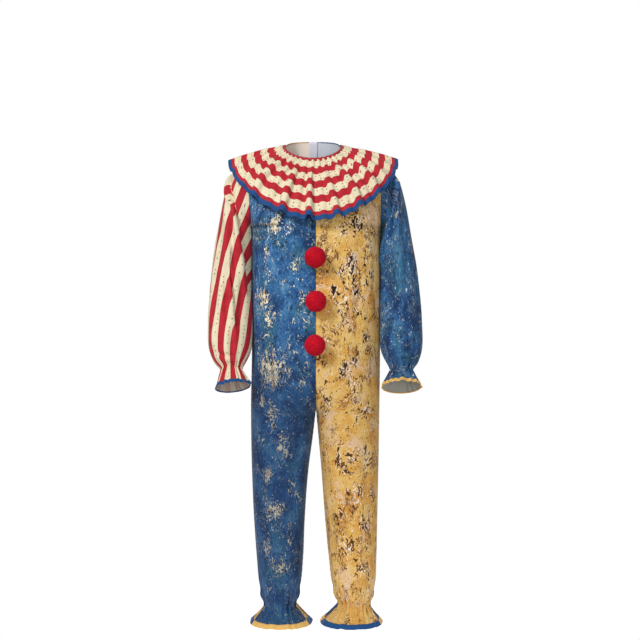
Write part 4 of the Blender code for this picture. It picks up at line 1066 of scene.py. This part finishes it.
def beside_body(grid):
    """How near the middle a sleeve's points may come: a little off the body's side, which
    rounds away to the front and back below the armpit."""
    y, z = grid[..., 1], np.clip(grid[..., 2], FORK_Z, ARMPIT_Z)
    depth = np.where(y < 0, through(FRONT_DEPTH, z), through(BACK_DEPTH, z))
    share = np.clip(np.abs(y) / depth, 0.0, 1.0) ** SECTION_POWER
    rounding = (1.0 - share) ** (1.0 / SECTION_POWER)
    rounding = 1.0 + (rounding - 1.0) * ease((ARMPIT_Z - grid[..., 2]) / 0.06)
    return BODY_HALF * rounding + 0.0012 - 0.0008 * ease((grid[..., 2] - ARMPIT_Z) / 0.05)


def seam_normals(grid):
    """Normals of a tube whose last column repeats its first."""
    normals = grid_normals(grid[:, :-1], True)
    return np.concatenate([normals, normals[:, :1]], axis=1)


def hung_stripes(grid, turn, u):
    """The striped sleeve's cloth hangs from the armhole: on the body's side of its long fold,
    the stripes run in straight lines, 24 degrees off upright, and the fold hides the rest.
    Lower down they turn slowly outwards."""
    z = grid[..., 2]
    turned = u + 0.018 + 0.16 * np.maximum(-0.25 - z, 0.0)
    hung = 0.061 + 1.1 * (0.30 - np.abs(grid[..., 0]) - 0.45 * np.maximum(z + 0.34, 0.0))
    off = np.abs(np.degrees(turn)) - through(SLEEVE_FOLDS[-1][0][0], z)
    inside = ease(off / 4.0) * ease((z + 0.44) / 0.12)
    return turned + (np.sign(turn) * hung - turned) * inside


def build_sleeves(looks):
    """Both sleeves with their cuff bindings and wrist elastics."""
    made = {}
    kinds = {-1: ("sleeve_striped", "cuff_binding_blue", "blue_tape", "wrist_elastic_right"),
             1: ("sleeve_blue", "cuff_binding_yellow", "yellow_tape", "wrist_elastic_left")}
    for side, (name, tape_name, tape, elastic_name) in kinds.items():
        grid, turn = sleeve(side)
        u = turn / (2 * math.pi) * SLEEVE_GIRTH
        if side < 0:
            u = hung_stripes(grid, turn, u)
        uv = flat_uv(u, run(grid[:, 0]) + SLEEVE_PRINT_START)
        grid = lean(grid)
        flip = side > 0
        made[name] = add_sheet(name + "_cloth", grid, looks[name], uv, closed=True, flip=flip)
        made[tape_name] = hem_tape(tape_name + "_tape", grid, 5, 2, looks[tape], flip, True)
        made[elastic_name] = inner_band(elastic_name + "_band", grid[WRIST_ROWS],
                                        looks["elastic"])
    return made


# --- collar -------------------------------------------------------------------------------
# the soft waves of the hem: (degrees from the front, + to the wearer's left; width; height)
COLLAR_WAVES = [(-164, 3.2, 11), (-149, 2.8, 13), (-133, 3.2, 14), (-117, 2.8, 11), (-103, 3.0, 12),
                (-86, 3.0, 9), (-71, 2.8, 9), (-55, 2.5, 10), (-43.5, 2.9, 14), (-32, 2.2, 5),
                (-22.3, 2.7, 14), (-13, 2.2, 4), (-4.5, 2.5, 16), (5.5, 2.2, 4), (14.3, 2.6, 12),
                (22.5, 2.2, 4), (30.6, 2.8, 15), (38, 2.2, 5), (46, 2.9, 16), (59.5, 2.6, 10),
                (74, 3.0, 9), (89, 3.0, 10), (105, 2.8, 12), (120, 3.2, 13), (136, 2.8, 11),
                (151, 3.2, 13), (166, 2.8, 10)]


def collar_surface(r, turn):
    """Points by share of the way from the neck (0) to the hem (1) and angle from the front."""
    neck = neck_edge(turn)
    away = np.stack([np.sin(turn), -np.cos(turn), np.full_like(turn, 0.55)], axis=-1)
    neck = neck + COLLAR_OUT * away
    tucked = ease(-1.4 * np.cos(turn))
    neck[..., 2] -= COLLAR_TUCK * tucked
    neck[..., 1] += COLLAR_TUCK_OUT * tucked
    cosine = np.cos(turn)
    fall = np.where(cosine > 0, COLLAR_SIDE_Z - COLLAR_FRONT_Z, COLLAR_SIDE_Z - COLLAR_BACK_Z)
    reach = np.where(cosine > 0, COLLAR_FRONT_Y, COLLAR_BACK_Y)
    hem = np.stack([COLLAR_HALF * np.sin(turn), -reach * cosine,
                    COLLAR_SIDE_Z - fall * np.abs(cosine) ** 1.35], axis=-1)
    height = COLLAR_CROWN + COLLAR_SHOULDER_CROWN * np.sin(2 * turn)**2
    crown = (np.sin(math.pi * r**1.3) * height)[..., None] * unit(away)
    return neck + (hem - neck) * r[..., None] + crown


def collar():
    """The ruffle: (points, angle, share from neck to hem). Tight gathers at the neck run out
    into the hem's soft waves, and the hem dips a little at each wave."""
    r = np.concatenate([np.linspace(0.0, 0.30, 22)[:-1], np.linspace(0.30, 0.937, 20)[:-1],
                        np.linspace(0.937, 1.0, 7)])[:, None]
    half = COLLAR_SPLIT[0] + (COLLAR_SPLIT[1] - COLLAR_SPLIT[0]) * r
    ending = np.arcsin(half / (NECK_HALF + (COLLAR_HALF - NECK_HALF) * r))
    turn = np.linspace(-1.0, 1.0, COLLAR_COLUMNS + 1)[None, :] * (math.pi - ending)
    r = np.broadcast_to(r, turn.shape)
    grid = collar_surface(r, turn)
    normals = grid_normals(grid)
    turns = (turn + math.pi) / (2 * math.pi)
    tight = np.tanh(2.2 * gathers(turns, (34, 37, 41), (0.2, 0.6, 0.35)))
    fine = ease(r / 0.10 + 0.15) * np.exp(-(r / 0.32) ** 2)
    folds = COLLAR_GATHER * (0.5 + 0.5 * tight) * fine
    pleats = gathers(turns, (19, 23), (0.15, 0.5))
    folds += COLLAR_PLEAT * pleats * ease(r / 0.25) * (1.0 - ease((r - 0.45) / 0.5))
    degrees = np.degrees(turn)
    ridges = np.zeros_like(folds)
    for place, wide, high in COLLAR_WAVES:
        grown = 0.5 + 0.5 * ease(r)
        off = np.abs(degrees - place) / (wide * (1.35 - 0.45 * r))
        ridges += COLLAR_RIDGE * high * grown * ease((r - 0.06) / 0.3) * np.exp(-off ** 5)
    folds += ridges - COLLAR_SINK * ease(r)
    edge_fade = ease((1.0 - np.abs(turn) / math.pi) / 0.02)
    grid = grid + normals * (folds * (0.3 + 0.7 * edge_fade))[..., None]
    lift = (0.45 * ridges + 0.72 * COLLAR_GATHER * tight * fine) * edge_fade
    grid = grid - lift[..., None] * unit(np.gradient(grid, axis=0))
    return grid, turn, r


def build_collar(looks):
    """The ruffle, the blue tape round its hem and the gathered red piping at its neck."""
    made = {}
    grid, turn, r = collar()
    grid = lean(grid)
    uv = np.stack([turn * 0.20, -r * COLLAR_LONG], axis=-1)
    made["collar"] = add_sheet("collar_cloth", grid, looks["collar"], uv)
    made["collar_binding"] = hem_tape("collar_binding_tape", grid, 7, 6, looks["blue_tape"],
                                      False)
    rows = np.argmin(np.abs(r[:, 0] - BAND_WIDTH / COLLAR_LONG)) + 1
    normals = grid_normals(grid)[:rows]
    share = np.linspace(0.0, 1.0, rows)[:, None, None]
    piping = grid[:rows] + normals * (GAP / 2 + 0.0016 * np.sin(math.pi * share))
    made["neckband"] = add_sheet("neckband_piping", piping, [looks["red_tape"]], metres(piping),
                                 thickness=TAPE, offset=1.0)
    return made


# --- pompoms ------------------------------------------------------------------------------
# a strand's faces: three sides of its foot, and three of its tip
STRAND_QUADS = np.array([[0, 1, 4, 3], [1, 2, 5, 4], [2, 0, 3, 5], [3, 4, 6, 7], [4, 5, 6, 7],
                         [5, 3, 7, 6]])


def spiral(count):
    """Directions spread evenly over a ball, in a spiral from top to bottom."""
    k = np.arange(count) + 0.5
    height = 1.0 - 2.0 * k / count
    turn = math.pi * (3.0 - math.sqrt(5.0)) * k
    level = np.sqrt(1.0 - height**2)
    return np.stack([level * np.cos(turn), level * np.sin(turn), height], axis=-1)


def build_pompoms(looks):
    """Balls of cut yarn: a lumpy core and tapered strands, pressed flat on the front."""
    made = {}
    for number, (name, (x, z)) in enumerate(POM_PLACES.items()):
        chance = np.random.default_rng(11 + number)
        seat = -float(depth_at(-1, z)) - POM_CLEAR
        core_radius = POM_RADIUS - STRAND
        rows, columns = 32, 48
        low = math.pi * np.linspace(0.0, 1.0, rows)[:, None]
        turn = 2 * math.pi * np.arange(columns)[None, :] / columns
        ball = np.stack(np.broadcast_arrays(np.sin(low) * np.cos(turn), np.sin(low) * np.sin(turn),
                                            np.cos(low)), axis=-1).reshape(-1, 3)
        core = ball * (core_radius * lumpy(ball, number))[:, None]
        way = unit(spiral(STRANDS) + chance.normal(0, 0.03, (STRANDS, 3)))
        long = STRAND * chance.uniform(0.75, 1.1, STRANDS)[:, None]
        sag = unit(way + chance.normal(0, 0.28, (STRANDS, 3)))
        side = unit(np.cross(way, sag))
        across = np.cross(way, side)
        foot = way * (core_radius * lumpy(way, number) - 0.0008)[:, None]
        spokes = [STRAND_THICK * (side * math.cos(a) + across * math.sin(a))
                  for a in 2 * math.pi / 3 * np.arange(3)]
        ring = [foot + spoke for spoke in spokes]
        upper = [foot + way * 0.6 * long + 0.8 * spoke for spoke in spokes]
        tip = foot + way * long * 0.6 + sag * long * 0.5
        strand = np.stack(ring + upper + [tip, tip + side * 0.0002], axis=1).reshape(-1, 3)
        base = len(core) + 8 * np.arange(STRANDS)[:, None, None]
        quads = (STRAND_QUADS + base).reshape(-1, 4)
        points = np.concatenate([core, strand])
        points += [x, seat - POM_RADIUS * 0.86, z]
        points[:, 1] = np.minimum(points[:, 1], seat)
        faces = np.concatenate([grid_faces(rows, columns, True), quads])
        made[name] = add_mesh(name + "_yarn", points, faces, [looks["yarn"]])
    return made


def lumpy(way, number):
    """The ball's radius in a direction, as a share: slightly uneven."""
    x, y, z = way.T
    return (1.0 + 0.018 * np.sin(5 * x + number) * np.sin(4 * z + 2 * number)
            + 0.012 * np.sin(9 * y + 3 * x + number))


# --- zip ----------------------------------------------------------------------------------
def back_line(z):
    """The back's middle line at heights: its depth and its outward normal."""
    def depth(height):
        level = np.clip((height - ARMPIT_Z) / (NECK_BACK_Z - ARMPIT_Z), 0.0, 1.0)
        at_armpit = depth_at(1, np.array(ARMPIT_Z))
        over = NECK_DEPTH + (at_armpit - NECK_DEPTH) * (1.0 - level ** 1.8)
        return np.where(height <= ARMPIT_Z, depth_at(1, np.minimum(height, ARMPIT_Z)), over)
    step = 0.002
    slope = (depth(z + step) - depth(z - step)) / (2 * step)
    slope = np.where(z + step > NECK_BACK_Z, (depth(z) - depth(z - step)) / step, slope)
    return depth(z), unit(np.stack([np.zeros_like(z), np.ones_like(z), -slope], axis=-1))


def along_back(z, across, out):
    """Points by height, distance across the zip and distance out of the back."""
    depth, normal = back_line(z)
    middle = np.stack([np.zeros_like(z), depth, z], axis=-1)
    return lean(middle + normal * out[:, None] + np.stack(
        [across, np.zeros_like(across), np.zeros_like(across)], axis=-1))


def build_zip(looks):
    """The tape, with the coil's teeth on its outer face from the slider down."""
    made = {}
    z = np.linspace(NECK_BACK_Z + 0.0005, ZIP_LOW_Z - 0.012, 90)
    x = np.linspace(-TAPE_HALF, TAPE_HALF, 15)
    rows = [along_back(z, np.full_like(z, a), np.full_like(z, -TAPE_DEPTH)) for a in x]
    grid = np.stack(rows, axis=1)
    made["zip_tape"] = add_sheet("zip_tape_cloth", grid, [looks["zip_tape"]], metres(grid),
                                 flip=True, thickness=TAPE)
    height = np.arange(NECK_BACK_Z - TEETH_TOP, ZIP_LOW_Z, -COIL_PITCH)
    corners = [(a, b, c) for a in (-1, 1) for b in (-1, 1) for c in (-1, 1)]
    sides = np.array([[0, 1, 3, 2], [4, 6, 7, 5], [0, 4, 5, 1], [2, 3, 7, 6], [0, 2, 6, 4],
                      [1, 5, 7, 3]])
    points = []
    for side, shift in ((-1, 0.0), (1, COIL_PITCH / 2)):
        for a, b, c in corners:
            level = height - shift - b * TOOTH_HALF_THICK
            reach = side * TOOTH_REACH + a * TOOTH_HALF_LONG * (0.8 if c > 0 else 1.0)
            out = -TAPE_DEPTH + 0.0010 + c * TOOTH_HALF_THICK
            points.append(along_back(level, np.full_like(level, reach), np.full_like(level, out)))
    block = np.array(points).reshape(2, 8, len(height), 3).transpose(0, 2, 1, 3).reshape(-1, 3)
    base = 8 * np.arange(2 * len(height))[:, None, None]
    faces = (sides + base).reshape(-1, 4)
    coil = add_mesh("zip_coil", block, faces, [looks["coil"]])
    round_off = coil.modifiers.new("rounded", "BEVEL")
    round_off.width = 0.0003
    round_off.segments = 1
    made["coil"] = coil
    return made


# --- looks --------------------------------------------------------------------------------
def both_sides(cloth, name, *settings):
    """A cloth's outside and its reverse."""
    return [cloth(name, *settings), cloth(name + "_reverse", *settings, reverse=True)]


def make_looks():
    """Every material, by the piece or the record's slot it dresses."""
    return {
        "front_blue": both_sides(blue_cloth, "blue_print_front", (0.3, 0.9, 1.3)),
        "back_blue": both_sides(blue_cloth, "blue_print_back", (2.3, 1.4, 4.1)),
        # the sleeve's copy of the blue print is darkened all over, with a grey-tan reverse: painted
        # shade
        "sleeve_blue": both_sides(blue_cloth, "blue_print_sleeve", (1.3, 2.9, 7.7), 0.18),
        "front_yellow": both_sides(yellow_cloth, "yellow_print_front", (0.6, 0.2, 2.3)),
        "back_yellow": both_sides(yellow_cloth, "yellow_print_back", (1.6, 3.2, 5.9)),
        "sleeve_striped": both_sides(striped_cloth, "striped_print", False),
        "collar": both_sides(striped_cloth, "collar_stripes", True),
        "blue_tape": plain_cloth("blue_tape", colour("#1b4b82")),
        "ankle_blue_tape": plain_cloth("ankle_blue_tape", colour("#184c82")),
        "yellow_tape": plain_cloth("yellow_tape", colour("#e2b566")),
        "red_tape": plain_cloth("red_tape", colour("#ae2433"), 0.6, 0.3),
        "elastic": ribbed_elastic("woven_elastic"),
        "yarn": yarn("red_yarn"),
        "zip_tape": tape_cloth("zip_tape_twill"),
        "coil": zip_lacquer("nylon_coil"),
        "metal": zip_lacquer("zip_lacquer"),
    }


# --- stage --------------------------------------------------------------------------------
def build_stage():
    """A pale floor under where the wearer's feet would be, soft light and the camera."""
    material, tree, shader = new_material("pale_floor", 0.9)
    shader.inputs["Base Color"].default_value = colour("#b0b0b0")
    shader.inputs["Emission Color"].default_value = (1.0, 1.0, 1.0, 1.0)
    shader.inputs["Emission Strength"].default_value = 0.85
    half, level = 0.8, -1.50
    corners = [(-half, -half, level), (half, -half, level), (half, half, level),
               (-half, half, level)]
    floor = add_mesh("floor", corners, [[0, 1, 2, 3]], [material])

    world = bpy.data.worlds.new("studio")
    bpy.context.scene.world = world
    world.use_nodes = True
    tree = world.node_tree
    seen = node(tree, "LightPath").outputs["Is Camera Ray"]
    strength = math_node(tree, "MULTIPLY_ADD", seen, 0.66, 0.34)
    background = tree.nodes["Background"]
    background.inputs["Color"].default_value = (1.0, 1.0, 1.0, 1.0)
    tree.links.new(strength, background.inputs["Strength"])

    for name, place, size, power in (("key", (-1.9, -2.7, 1.5), 0.9, 92.0),
                                     ("fill", (1.0, -3.5, -0.6), 2.0, 34.0),
                                     ("back", (0.4, 3.2, 1.2), 2.4, 40.0)):
        light = bpy.data.lights.new(name, "AREA")
        light.shape = "DISK"
        light.size = size
        light.energy = power
        made = bpy.data.objects.new(name, light)
        made.location = place
        aim = np.array([0.0, 0.0, -0.6]) - place
        made.rotation_euler = (math.atan2(math.hypot(aim[0], aim[1]), -aim[2]), 0.0,
                               math.atan2(aim[1], aim[0]) - math.pi / 2)
        bpy.context.collection.objects.link(made)

    camera = bpy.data.cameras.new("camera")
    camera.angle = 2 * math.atan(0.96 / 3.0)    # 0.96 m each way, 3 m off
    made = bpy.data.objects.new("camera", camera)
    made.location = (0.012, -3.0, -0.51)
    made.rotation_euler = (math.pi / 2, 0.0, 0.0)
    bpy.context.collection.objects.link(made)
    bpy.context.scene.camera = made
    bpy.context.scene.view_settings.view_transform = "Standard"


# --- the suit -----------------------------------------------------------------------------
def main():
    """Builds every piece, ties it to the frame's solids and dresses the zip's slider and pull."""
    looks = make_looks()
    made = {**build_body(looks), **build_sleeves(looks), **build_collar(looks),
            **build_pompoms(looks), **build_zip(looks)}
    coil = made.pop("coil")
    for name, piece in made.items():
        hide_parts(name)
        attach(piece, "suit")
    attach(coil, "suit")
    for name in ("zip_slider", "zip_pull"):
        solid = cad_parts[name]
        solid.data.materials.clear()
        solid.data.materials.append(looks["metal"])
    build_stage()


main()
